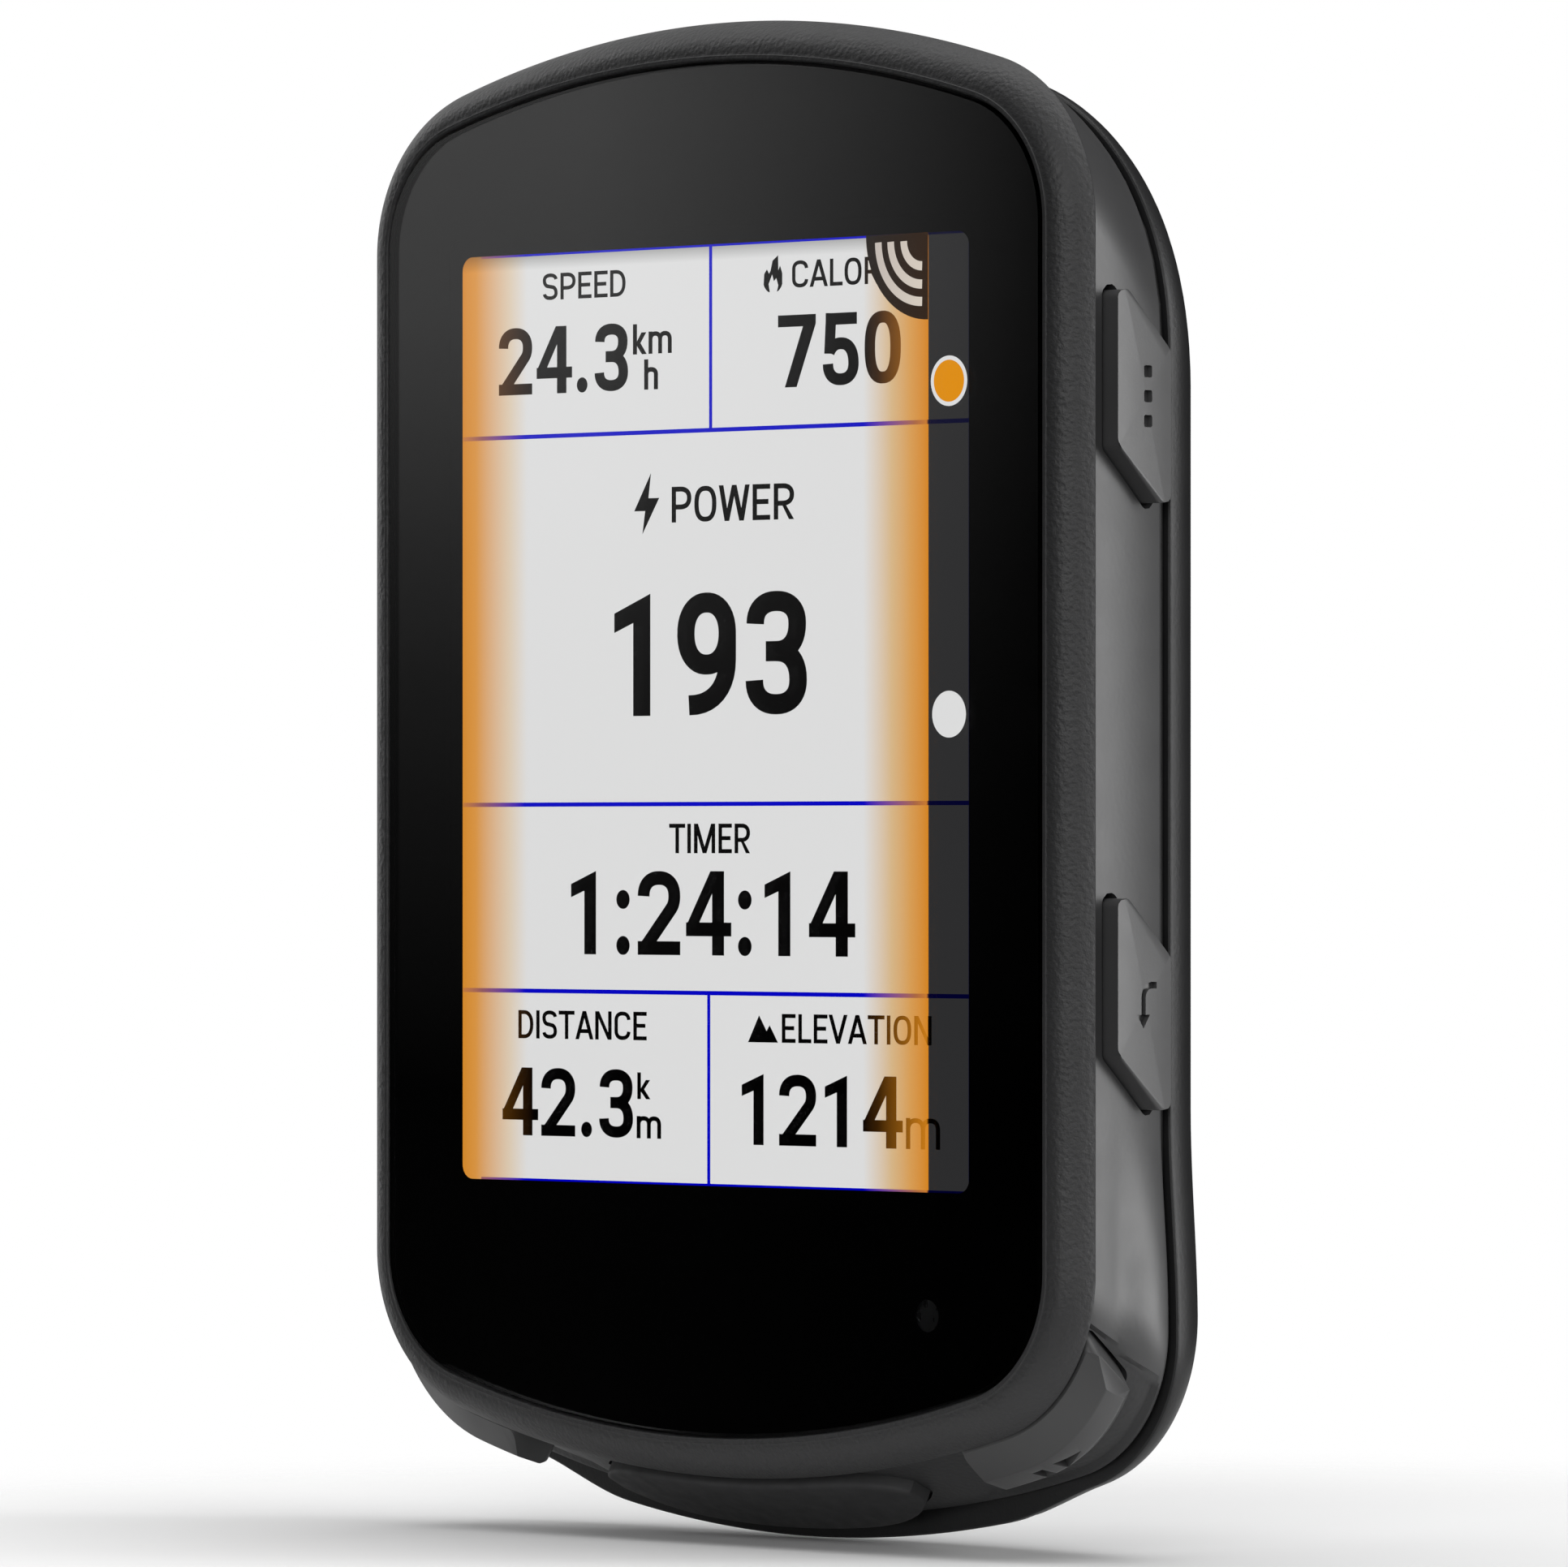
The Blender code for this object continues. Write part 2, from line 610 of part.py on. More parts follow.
def side_button_heights(side):
    """Middle heights of the buttons on one side: two on the right, three on the left."""
    return RIGHT_HEIGHTS if side > 0 else LEFT_HEIGHTS


def side_button_shape(side, middle, grow=0.0):
    """Leaning parallelogram of a side button, as (height, depth)."""
    half = SIDE_BUTTON_LENGTH / 2
    lean = SIDE_BUTTON_LEAN / 2
    corners = [
        (middle + lean - half, SIDE_BUTTON_FRONT),
        (middle + lean + half, SIDE_BUTTON_FRONT),
        (middle - lean + half, SIDE_BUTTON_REAR),
        (middle - lean - half, SIDE_BUTTON_REAR),
    ]
    centre = Vector((middle, (SIDE_BUTTON_FRONT + SIDE_BUTTON_REAR) / 2))
    grown = []
    for height, depth in corners:
        across = math.copysign(grow, depth - centre.y)
        slope = (height - centre.x) * (2 * half + 2.4 * grow) / (2 * half)
        grown.append((centre.x + slope - math.copysign(grow * 0.5, depth - centre.y), depth + across))
    return rounded(grown, 0.55 + max(grow, 0.0) * 0.5, 2)


def side_prism(name, shape, side, spans, origin=None):
    rings = [[place(side * x, depth, height) for height, depth in shape] for x in spans]
    return loft(name, rings, origin=origin)


def side_button(name, side, middle):
    """Cap with a flange behind the wall that keeps it in, its seal, and the switch it presses."""
    inner, outer = SIDE_FLANGE
    levels = [(inner, SIDE_FLANGE_WIDTH), (outer, SIDE_FLANGE_WIDTH), (outer, 0.0)]
    levels += [(SIDE_BUTTON_FACE - 0.2, 0.0), (SIDE_BUTTON_FACE, -0.2)]
    rings = []
    for x, grow in levels:
        rings.append([place(side * x, depth, y) for y, depth in side_button_shape(side, middle, grow)])
    depth = (SIDE_BUTTON_FRONT + SIDE_BUTTON_REAR) / 2
    cap = loft(name + "_button", rings, origin=place(side * inner, depth, middle))
    finish(cap, (0.08, 0.08, 0.082), 0.5)
    seal_shape = side_button_shape(side, middle, 0.55)
    seal = side_prism(name + "_seal", seal_shape, side, (outer + 0.1, outer + 0.3))
    cut(seal, side_prism("inside", side_button_shape(side, middle, 0.12), side, (inner, outer + 1.0)))
    finish(seal, (0.02, 0.02, 0.02), 0.8)
    switch(name, (side * SIDE_SWITCH_X, middle), (side, 0.0))


def switch(name, mouth, out):
    """Tactile switch: its body on the board and the plunger that slides in it."""
    along = (-out[1], out[0])

    def block(label, sizes):
        (near, far), half_along, half_depth = sizes
        corners = []
        for reach in (near, far):
            one = []
            for a, d in ((-1, -1), (1, -1), (1, 1), (-1, 1)):
                x = mouth[0] + out[0] * reach + along[0] * a * half_along
                y = mouth[1] + out[1] * reach + along[1] * a * half_along
                one.append(place(x, SWITCH_DEPTH + d * half_depth, y))
            corners.append(one)
        return loft(label, corners)

    body = block(name + "_switch", ((-SWITCH_LENGTH, 0.0), 1.9, 0.8))
    cut(body, block("bore", ((-1.3, 0.5), 0.75, 0.55)))
    finish(body, (0.75, 0.75, 0.76), 0.35, 0.8)
    plunger = block(name + "_plunger", ((-0.7, 0.45), 0.5, 0.4))
    finish(plunger, (0.02, 0.02, 0.02), 0.5)


def corner_point(side, along, out):
    """Point in the button's own plane: along the chord of the corner, and out from that chord."""
    x = CORNER_BUTTON_MIDDLE[0] - CORNER_BUTTON_OUT[1] * along + CORNER_BUTTON_OUT[0] * out
    y = CORNER_BUTTON_MIDDLE[1] + CORNER_BUTTON_OUT[0] * along + CORNER_BUTTON_OUT[1] * out
    return side * x, y


def corner_button_shape(grow=0.0):
    """Outline of a corner button, as (along, depth); its ends lean with the slant of the body."""
    half = CORNER_BUTTON_HALF_LENGTH + grow
    front = CORNER_BUTTON_FRONT - (0.05 if grow else 0.0)
    rear = CORNER_BUTTON_REAR + grow
    corners = [(-half, front), (half, front), (half - 1.9, rear), (-half - 0.6, rear)]
    return rounded(corners, 0.5, 2)


def corner_prism(name, side, shape, reach, origin=None):
    rings = []
    for out in reach:
        one = []
        for along, depth in shape:
            x, y = corner_point(side, along, out)
            one.append(place(x, depth, y))
        rings.append(one)
    return loft(name, rings, origin=origin)


def corner_skin(name):
    """Solid as wide as the body whose surface is the ridged outer face of the corner buttons."""
    profile = ((1.5, 2.4), (2.35, 2.6), (3.3, 3.5), (5.1, 3.15), (6.5, 1.9))
    return loft(name, [ring(body_outline(offset), depth) for depth, offset in profile])


def corner_button(name, side):
    """Ridged bar round a lower corner, with a stem through a boot ring to its switch."""
    inner = CORNER_BUTTON_INNER
    x, y = corner_point(side, 0.0, inner)
    origin = place(x, SWITCH_DEPTH, y)
    cap = corner_prism(name + "_button", side, corner_button_shape(), (inner, 6.0), origin)
    combine(cap, corner_skin("skin"), "INTERSECT")
    stem = rectangle(-1.0, 1.0, 4.75, 5.7)
    join(cap, corner_prism("stem", side, stem, (CORNER_STEM_INNER, inner + 1.1)))
    finish(cap, (0.08, 0.08, 0.082), 0.5)
    boot = rectangle(-2.3, 2.3, 3.6, 6.9, 0.4)
    boot = corner_prism(name + "_seal", side, boot, (inner - 1.05, inner - 0.55))
    cut(boot, corner_prism("inside", side, rectangle(-1.15, 1.15, 4.6, 5.85), (-4.0, -2.0)))
    finish(boot, (0.02, 0.02, 0.02), 0.8)
    mouth = corner_point(side, 0.0, CORNER_SWITCH_REACH)
    switch(name, mouth, (side * CORNER_BUTTON_OUT[0], CORNER_BUTTON_OUT[1]))


def buttons():
    right = ("menu", "back")
    left = ("power", "scroll_up", "scroll_down")
    for side, names in ((1, right), (-1, left)):
        for name, middle in zip(names, side_button_heights(side)):
            side_button(name, side, middle)
    corner_button("start_stop", 1)
    corner_button("lap", -1)


def mount_insert():
    """Round neck with two tabs: a bicycle mount grips it after a quarter turn."""
    neck, tabs = [], []
    for i in range(72):
        turn = math.radians(5 * i)
        from_side = abs((math.degrees(turn) + 90) % 180 - 90)
        blend = smooth((MOUNT_TAB_HALF_ANGLE + 2.5 - from_side) / 5)
        reach = MOUNT_NECK_RADIUS + (MOUNT_TAB_RADIUS - MOUNT_NECK_RADIUS) * blend
        neck.append((MOUNT_NECK_RADIUS, turn))
        tabs.append((reach, turn))
    flat = COVER_RIM + COVER_BULGE
    levels = ((flat + 0.15, neck, 0.0), (MOUNT_TAB_DEPTH, neck, 0.0), (MOUNT_TAB_DEPTH, tabs, 0.0))
    levels += ((GLASS_TO_MOUNT - 0.3, tabs, 0.0), (GLASS_TO_MOUNT, tabs, 0.3))
    rings = []
    for depth, shape, smaller in levels:
        one = []
        for reach, turn in shape:
            x = (reach - smaller) * math.cos(turn)
            one.append(place(x, depth, MOUNT_HEIGHT + (reach - smaller) * math.sin(turn)))
        rings.append(one)
    obj = loft("mount_insert", rings)
    for side in (-1, 1):
        x = side * MOUNT_SCREW_SPACING / 2
        hole_layer = (flat - 0.4, GLASS_TO_MOUNT + 0.4)
        cut(obj, plate("hole", circle(x, MOUNT_HEIGHT, SCREW_HOLE_RADIUS, 12), hole_layer))
        well_layer = (MOUNT_WELL_FLOOR, GLASS_TO_MOUNT + 0.9)
        cut(obj, plate("well", circle(x, MOUNT_HEIGHT, WELL_RADIUS, 16), well_layer))
    return finish(obj, (0.03, 0.03, 0.03), 0.5)


def screw(name, x, height, head, tip):
    """Small screw with its head to the rear and a hexagonal socket in it."""
    head_front, head_rear = head
    levels = [(tip, SCREW_RADIUS - 0.4), (tip + 0.5, SCREW_RADIUS), (head_front, SCREW_RADIUS)]
    levels += [(head_front, SCREW_HEAD_RADIUS), (head_rear - 0.25, SCREW_HEAD_RADIUS)]
    levels.append((head_rear, SCREW_HEAD_RADIUS - 0.25))
    rings = []
    for depth, radius in levels:
        rings.append([place(cx, depth, cy) for cx, cy in circle(x, height, radius, 18)])
    obj = loft(name, rings)
    cut(obj, plate("socket", circle(x, height, 0.85, 6), (head_rear - 0.6, head_rear + 0.5)))
    return finish(obj, (0.1, 0.1, 0.1), 0.35, 1.0)


def screws():
    for i, (x, y) in enumerate(CASE_SCREWS):
        screw(f"case_screw_{i + 1}", x, y, CASE_SCREW_HEAD, CASE_SCREW_TIP)
    for i, side in enumerate((-1, 1)):
        x = side * MOUNT_SCREW_SPACING / 2
        screw(f"mount_screw_{i + 1}", x, MOUNT_HEIGHT, MOUNT_SCREW_HEAD, MOUNT_SCREW_TIP)


clear_scene()
front_bezel()
side_housing()
rear_cover()
housing_seal()
cover_glass()
glass_gasket()
light_sensor()
lcd_panel()
lcd_backlight()
mid_frame()
main_board()
rf_shield()
gnss_antenna()
buzzer()
barometer()
vent_membrane()
battery_connector()
battery_cell()
display_flex()
usb_receptacle()
usb_cap()
buttons()
mount_insert()
screws()
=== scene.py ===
"""Looks of the cycling computer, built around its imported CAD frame.

Shapes are worked out in millimetres from the frame's own boxes: x to the right, depth back from the
face of the glass, height up from the middle of the screen. place() turns that into row-frame metres.
"""

import math

import bmesh
import bpy
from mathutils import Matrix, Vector
from mathutils.geometry import delaunay_2d_cdt

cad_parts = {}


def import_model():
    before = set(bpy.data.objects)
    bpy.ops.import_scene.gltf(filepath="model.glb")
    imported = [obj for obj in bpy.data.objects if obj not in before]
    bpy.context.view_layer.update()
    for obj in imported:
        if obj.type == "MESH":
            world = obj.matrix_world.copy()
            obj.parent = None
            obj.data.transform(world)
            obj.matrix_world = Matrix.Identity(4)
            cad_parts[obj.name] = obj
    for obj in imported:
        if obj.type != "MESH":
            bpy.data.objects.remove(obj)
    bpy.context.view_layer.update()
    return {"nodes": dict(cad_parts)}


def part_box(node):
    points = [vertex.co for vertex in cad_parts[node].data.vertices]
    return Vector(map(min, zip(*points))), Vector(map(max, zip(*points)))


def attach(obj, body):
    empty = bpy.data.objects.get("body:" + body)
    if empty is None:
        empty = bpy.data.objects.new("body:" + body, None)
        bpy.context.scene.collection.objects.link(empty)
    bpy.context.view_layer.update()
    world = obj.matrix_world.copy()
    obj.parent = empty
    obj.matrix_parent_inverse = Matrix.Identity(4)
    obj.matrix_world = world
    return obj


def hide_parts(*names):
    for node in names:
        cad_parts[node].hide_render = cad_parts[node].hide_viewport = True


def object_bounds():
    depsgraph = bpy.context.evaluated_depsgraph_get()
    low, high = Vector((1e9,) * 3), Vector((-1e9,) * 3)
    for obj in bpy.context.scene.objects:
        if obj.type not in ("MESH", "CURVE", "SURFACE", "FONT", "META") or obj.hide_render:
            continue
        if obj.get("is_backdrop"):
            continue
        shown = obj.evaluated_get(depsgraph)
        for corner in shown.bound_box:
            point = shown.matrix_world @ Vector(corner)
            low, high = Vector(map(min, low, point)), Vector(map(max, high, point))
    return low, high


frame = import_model()


# ---------------------------------------------------------------- sizes, from the frame

def node_box(node):
    """Low and high corner of a CAD node, in millimetres."""
    return [corner * 1000 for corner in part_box(node)]


glass_low, glass_high = node_box("cover_glass")

SCREEN_ABOVE_GLASS_MIDDLE = 1.93
GLASS_FACE = glass_low.y
SCREEN_MIDDLE = (glass_low.z + glass_high.z) / 2 + SCREEN_ABOVE_GLASS_MIDDLE

GLASS_HALF_WIDTH = glass_high.x
GLASS_TOP = glass_high.z - SCREEN_MIDDLE
GLASS_BOTTOM = glass_low.z - SCREEN_MIDDLE
GLASS_THICKNESS = glass_high.y - glass_low.y
END_RADIUS = 74.0
CORNER_RADIUS = 7.0

CREASE_OFFSET = node_box("front_bezel")[1].x - GLASS_HALF_WIDTH
CREASE_DEPTH = 1.85
SLANT = 0.518
TOP_SLANT = 0.15
UPPER_CORNER_GROWTH = 6.5
WALL = 1.6
HOUSING_FRONT = 2.25
HOUSING_REAR = 8.2
POCKET_DEPTH = 0.35
POCKET_TOP = -33.2
POCKET_TILT = 0.1
COVER_FRONT = 8.55
COVER_RIM = 8.9
COVER_BULGE = 5.5
SIDE_INSET = 9.5
TOP_INSET = 18.0
BOTTOM_INSET = 12.0
COVER_WALL = 1.5
LIP_HALF_LENGTH = 15.3
LIP_DROP = 0.7
FLARE = 0.6

SIDE_BUTTON_FACE = node_box("menu_button")[1].x
SIDE_BUTTON_FRONT = 3.14
SIDE_BUTTON_REAR = 7.19
SIDE_BUTTON_LENGTH = 9.3
SIDE_BUTTON_LEAN = 3.6
CORNER_BUTTON_FRONT = 2.2
CORNER_BUTTON_REAR = 5.8
CORNER_BUTTON_HALF_LENGTH = 5.9
CORNER_BUTTON_MIDDLE = (22.9, -37.8)
CORNER_BUTTON_OUT = (0.56, -0.828)
BUTTON_GAP = 0.2
BUTTON_CROWN = 0.3
BUTTON_EDGE = 0.26

USB_CAP_HALF_LENGTH = 12.0
USB_CAP_FRONT = 2.6
USB_CAP_REAR = 7.6

MOUNT_HEIGHT = -SCREEN_MIDDLE
MOUNT_NECK_RADIUS = 12.2
MOUNT_TAB_RADIUS = node_box("mount_insert")[1].x
MOUNT_TAB_HALF_ANGLE = 27.0
MOUNT_TAB_DEPTH = 17.9
MOUNT_SCREW_SPACING = 14.0

SCREEN_HALF_WIDTH = 20.05
SCREEN_HALF_HEIGHT = 26.25
SCREEN_CORNER = 0.8
SCREEN_STRENGTH = 1.07
STRIP_START = 16.9
SENSOR = (16.9, -33.0)
SENSOR_RADIUS = 0.9
PAGE_DEPTH = GLASS_THICKNESS + 0.14
GRAPHICS_DEPTH = PAGE_DEPTH - 0.012
PRINT_THICKNESS = 0.005


def place(x, depth, height):
    return Vector((x, depth + GLASS_FACE, height + SCREEN_MIDDLE)) / 1000


# ---------------------------------------------------------------- mesh helpers

def smooth(value):
    value = min(max(value, 0.0), 1.0)
    return value * value * (3 - 2 * value)


def slide_down(depth, height):
    """Drop of the body behind the crease: the full slant at its lower half, and little of it at its top."""
    slant = SLANT + (TOP_SLANT - SLANT) * smooth(height / 30)
    return -slant * max(0.0, depth - CREASE_DEPTH)


def steps(count, last=False):
    return [i / count for i in range(count + (1 if last else 0))]


END_STEPS = steps(34)
CORNER_STEPS = steps(28, last=True)
SIDE_STEPS = steps(52)[1:]


def end_outline(half_width, end, end_radius, corner_radius):
    """One quarter of the outline, from the middle of the end to the start of the straight side."""
    reach = end_radius - corner_radius
    inner = half_width - corner_radius
    corner_height = end - end_radius + math.sqrt(reach * reach - inner * inner)
    turn = math.acos(inner / reach)
    joint_x = end_radius * math.cos(turn)
    points = []
    for step in END_STEPS:
        x = joint_x * step
        points.append((x, end - end_radius + math.sqrt(end_radius**2 - x * x)))
    for step in CORNER_STEPS:
        angle = turn * (1 - step)
        x = inner + corner_radius * math.cos(angle)
        points.append((x, corner_height + corner_radius * math.sin(angle)))
    return points


def outline(half_width, top, bottom, end_radius, corner_radius, upper_growth):
    """Closed outline as (x, height), clockwise from the middle of the top end."""
    upper = end_outline(half_width, top, end_radius, corner_radius + upper_growth)
    lower = [(x, -y) for x, y in end_outline(half_width, -bottom, end_radius, corner_radius)]
    first, last = upper[-1][1], lower[-1][1]
    side = [(half_width, first + (last - first) * step) for step in SIDE_STEPS]
    right = upper + side + lower[::-1]
    left = [(-x, y) for x, y in right[-2:0:-1]]
    return right + left


def rearward(depth):
    """How far back a depth lies between the front and the rear of the side band, from 0 to 1."""
    return min(max((depth - HOUSING_FRONT) / (HOUSING_REAR - HOUSING_FRONT), 0.0), 1.0)


def body_outline(offset, top_offset=None, bottom_offset=None, corner=None, depth=0.0):
    """The glass outline moved outwards by the offset, or by other amounts at its two ends."""
    top = GLASS_TOP + (offset if top_offset is None else top_offset)
    bottom = GLASS_BOTTOM - (offset if bottom_offset is None else bottom_offset)
    corner = CORNER_RADIUS + offset if corner is None else corner
    growth = UPPER_CORNER_GROWTH * rearward(depth)
    return outline(GLASS_HALF_WIDTH + offset, top, bottom, END_RADIUS + offset, corner, growth)


def ring(shape, depth):
    return [place(x, depth, y + slide_down(depth, y)) for x, y in shape]


def flared(shape, amount):
    wide = []
    for x, y in shape:
        push = amount * smooth((-18 - y) / 12) * smooth(abs(x) / 20)
        wide.append((x + math.copysign(push, x), y))
    return wide


def dropped(shape, amount):
    low = []
    for x, y in shape:
        inside = smooth((LIP_HALF_LENGTH + 6.7 - abs(x)) / 7.0)
        low.append((x, y - (amount * inside if y < GLASS_BOTTOM * 0.8 else 0.0)))
    return low


def pocketed(shape, amount, depth):
    """The outline set in by the amount around both lower corner buttons, with soft ends."""
    inset = []
    for x, y in shape:
        top = POCKET_TOP + 0.45 - POCKET_TILT * (depth - CREASE_DEPTH)
        inside = smooth((top - y) / 0.4) * smooth((abs(x) - LIP_HALF_LENGTH + 1.5) / 3)
        length = math.hypot(x, y)
        scale = 1 - amount * inside / length
        inset.append((x * scale, y * scale))
    return inset


def linked(name, data):
    """A new object in the scene that shows the data."""
    obj = bpy.data.objects.new(name, data)
    bpy.context.scene.collection.objects.link(obj)
    return obj


def new_object(name, points, faces, material):
    """An object whose faces all look outwards."""
    mesh = bpy.data.meshes.new(name)
    mesh.from_pydata(points, [], faces)
    shape = bmesh.new()
    shape.from_mesh(mesh)
    bmesh.ops.recalc_face_normals(shape, faces=shape.faces)
    if shape.calc_volume(signed=True) < 0:
        bmesh.ops.reverse_faces(shape, faces=shape.faces)
    shape.to_mesh(mesh)
    shape.free()
    if material:
        mesh.materials.append(material)
    return linked(name, mesh)


def loft(name, rings, material=None, closed=False):
    """A body through rings that all hold the same number of points, capped at both ends unless closed."""
    count = len(rings[0])
    points = [point for one in rings for point in one]
    spans = [(i, i + 1) for i in range(len(rings) - 1)]
    if closed:
        spans.append((len(rings) - 1, 0))
    faces = []
    for first, second in spans:
        for i in range(count):
            j = (i + 1) % count
            faces.append((first * count + i, first * count + j, second * count + j, second * count + i))
    if not closed:
        faces.append(tuple(range(count)))
        faces.append(tuple((len(rings) - 1) * count + i for i in reversed(range(count))))
    return new_object(name, points, faces, material)


def shade(obj, angle=32.0):
    obj.data.polygons.foreach_set("use_smooth", [True] * len(obj.data.polygons))
    obj.data.set_sharp_from_angle(angle=math.radians(angle))
    return obj


def bake(obj):
    """Applies the object's modifiers to its mesh."""
    bpy.context.view_layer.update()
    graph = bpy.context.evaluated_depsgraph_get()
    mesh = bpy.data.meshes.new_from_object(obj.evaluated_get(graph))
    obj.modifiers.clear()
    obj.data = mesh
    return obj


def combine(obj, other, operation):
    modifier = obj.modifiers.new("combine", "BOOLEAN")
    modifier.object = other
    modifier.operation = operation
    modifier.solver = "EXACT"
    bake(obj)
    bpy.data.objects.remove(other)
    return obj


def cut(obj, cutter):
    return combine(obj, cutter, "DIFFERENCE")


def join(obj, other):
    return combine(obj, other, "UNION")


def bevel(obj, width, segments, angle):
    """Rounds the edges that turn by more than the angle."""
    modifier = obj.modifiers.new("bevel", "BEVEL")
    modifier.width = width / 1000
    modifier.segments = segments
    modifier.limit_method = "ANGLE"
    modifier.angle_limit = math.radians(angle)
    modifier.harden_normals = False
    return bake(obj)


def rounded(points, radius, arc_steps=6):
    result = []
    count = len(points)
    for i, corner in enumerate(points):
        before = (Vector(points[i - 1]) - Vector(corner)).normalized()
        after = (Vector(points[(i + 1) % count]) - Vector(corner)).normalized()
        half = before.angle(after) / 2
        centre = Vector(corner) + (before + after).normalized() * radius / math.sin(half)
        start = Vector(corner) + before * radius / math.tan(half) - centre
        end = Vector(corner) + after * radius / math.tan(half) - centre
        for step in range(arc_steps + 1):
            arm = start.lerp(end, step / arc_steps)
            result.append(tuple(centre + arm.normalized() * radius))
    return result


def rectangle(low_x, high_x, low_y, high_y, radius=0.0, arc_steps=6):
    corners = [(low_x, low_y), (high_x, low_y), (high_x, high_y), (low_x, high_y)]
    return rounded(corners, radius, arc_steps) if radius else corners


def circle(x, y, radius, count=48):
    turns = [2 * math.pi * i / count for i in range(count)]
    return [(x + radius * math.cos(turn), y + radius * math.sin(turn)) for turn in turns]


def plate(name, polygon, layer, material=None):
    """Flat piece of an (x, height) outline between the depths of the layer."""
    return loft(name, [[place(x, depth, y) for x, y in polygon] for depth in layer], material)


def upright(name, polygon, heights, material=None):
    """Straight piece of an (x, depth) outline between two heights."""
    return loft(name, [[place(x, depth, height) for x, depth in polygon] for height in heights], material)


def finished(obj, replaces=(), body="case"):
    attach(obj, body)
    if replaces:
        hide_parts(*replaces)
    return obj


# ---------------------------------------------------------------- materials

class Nodes:
    """A material under construction: short calls that add and link shader nodes."""

    def __init__(self, name):
        self.material = bpy.data.materials.new(name)
        self.material.use_nodes = True
        self.tree = self.material.node_tree
        self.shader = self.tree.nodes["Principled BSDF"]
        coordinates = self.tree.nodes.new("ShaderNodeTexCoord")
        self.place = coordinates.outputs["Object"]

    def link(self, source, target):
        self.tree.links.new(source, target)

    def hold(self, name, value):
        self.shader.inputs[name].default_value = value

    def feed(self, name, source):
        self.link(source, self.shader.inputs[name])

    def noise(self, scale, detail=3.0):
        node = self.tree.nodes.new("ShaderNodeTexNoise")
        for name, number in (("Scale", scale), ("Detail", detail), ("Roughness", 0.55)):
            node.inputs[name].default_value = number
        self.link(self.place, node.inputs["Vector"])
        return node.outputs["Fac"]

    def cells(self, scale):
        node = self.tree.nodes.new("ShaderNodeTexVoronoi")
        node.feature = "SMOOTH_F1"
        node.inputs["Scale"].default_value = scale
        self.link(self.place, node.inputs["Vector"])
        return node.outputs["Distance"]

    def spread(self, value, low, high, to_low, to_high, interpolation="LINEAR"):
        node = self.tree.nodes.new("ShaderNodeMapRange")
        node.interpolation_type = interpolation
        for name, number in zip(("From Min", "From Max", "To Min", "To Max"), (low, high, to_low, to_high)):
            node.inputs[name].default_value = number
        self.link(value, node.inputs["Value"])
        return node.outputs["Result"]

    def ramp(self, value, stops):
        node = self.tree.nodes.new("ShaderNodeValToRGB")
        elements = node.color_ramp.elements
        while len(elements) < len(stops):
            elements.new(0.5)
        for element, (position, colour) in zip(elements, stops):
            element.position = position
            element.color = (*colour, 1.0)
        self.link(value, node.inputs["Fac"])
        return node.outputs["Color"]

    def math(self, operation, first, second):
        node = self.tree.nodes.new("ShaderNodeMath")
        node.operation = operation
        for socket, value in zip(node.inputs, (first, second)):
            if isinstance(value, (int, float)):
                socket.default_value = value
            else:
                self.link(value, socket)
        return node.outputs[0]

    def scaled(self, colour, amount):
        node = self.tree.nodes.new("ShaderNodeVectorMath")
        node.operation = "SCALE"
        self.link(colour, node.inputs[0])
        self.link(amount, node.inputs["Scale"])
        return node.outputs[0]

    def axis(self, name):
        node = self.tree.nodes.new("ShaderNodeSeparateXYZ")
        self.link(self.place, node.inputs[0])
        return node.outputs[name]

    def bump(self, height, strength, distance):
        node = self.tree.nodes.new("ShaderNodeBump")
        node.inputs["Strength"].default_value = strength
        node.inputs["Distance"].default_value = distance / 1000
        self.link(height, node.inputs["Height"])
        self.feed("Normal", node.outputs["Normal"])

    def mottled(self, scale, dark, light, detail=4.0):
        """Base colour that wanders between two tones."""
        self.feed("Base Color", self.ramp(self.noise(scale, detail), [(0.3, dark), (0.7, light)]))

    def glossed(self, scale, roughness, reach, detail=3.0):
        """Roughness that wanders to both sides of its middle."""
        wander = self.spread(self.noise(scale, detail), 0.3, 0.7, roughness - reach, roughness + reach)
        self.feed("Roughness", wander)


def grained_plastic(name, colour, roughness, grain, grain_size, specular=0.5):
    """Moulded plastic with a leathery grain, slight tone changes and uneven gloss."""
    nodes = Nodes(name)
    fine = nodes.math("MULTIPLY", nodes.noise(2600 / grain_size, 2.0), 0.6)
    nodes.bump(nodes.math("ADD", nodes.cells(1000 / grain_size), fine), grain, 0.05)
    nodes.mottled(180.0, [0.93 * c for c in colour], [1.07 * c for c in colour])
    nodes.glossed(420.0, roughness, 0.02)
    nodes.hold("Specular IOR Level", specular)
    return nodes.material


def metal(name, dark, light, roughness):
    """Tinned or blackened metal with fine scratches and stains."""
    nodes = Nodes(name)
    nodes.mottled(900.0, dark, light)
    nodes.glossed(2700.0, roughness, 0.08, 2.0)
    nodes.hold("Metallic", 1.0)
    nodes.bump(nodes.noise(1800.0), 0.15, 0.02)
    return nodes.material


def rubber(name, colour):
    nodes = Nodes(name)
    nodes.mottled(600.0, [0.8 * c for c in colour], colour)
    nodes.glossed(900.0, 0.7, 0.08)
    nodes.bump(nodes.noise(5200.0, 2.0), 0.25, 0.02)
    return nodes.material


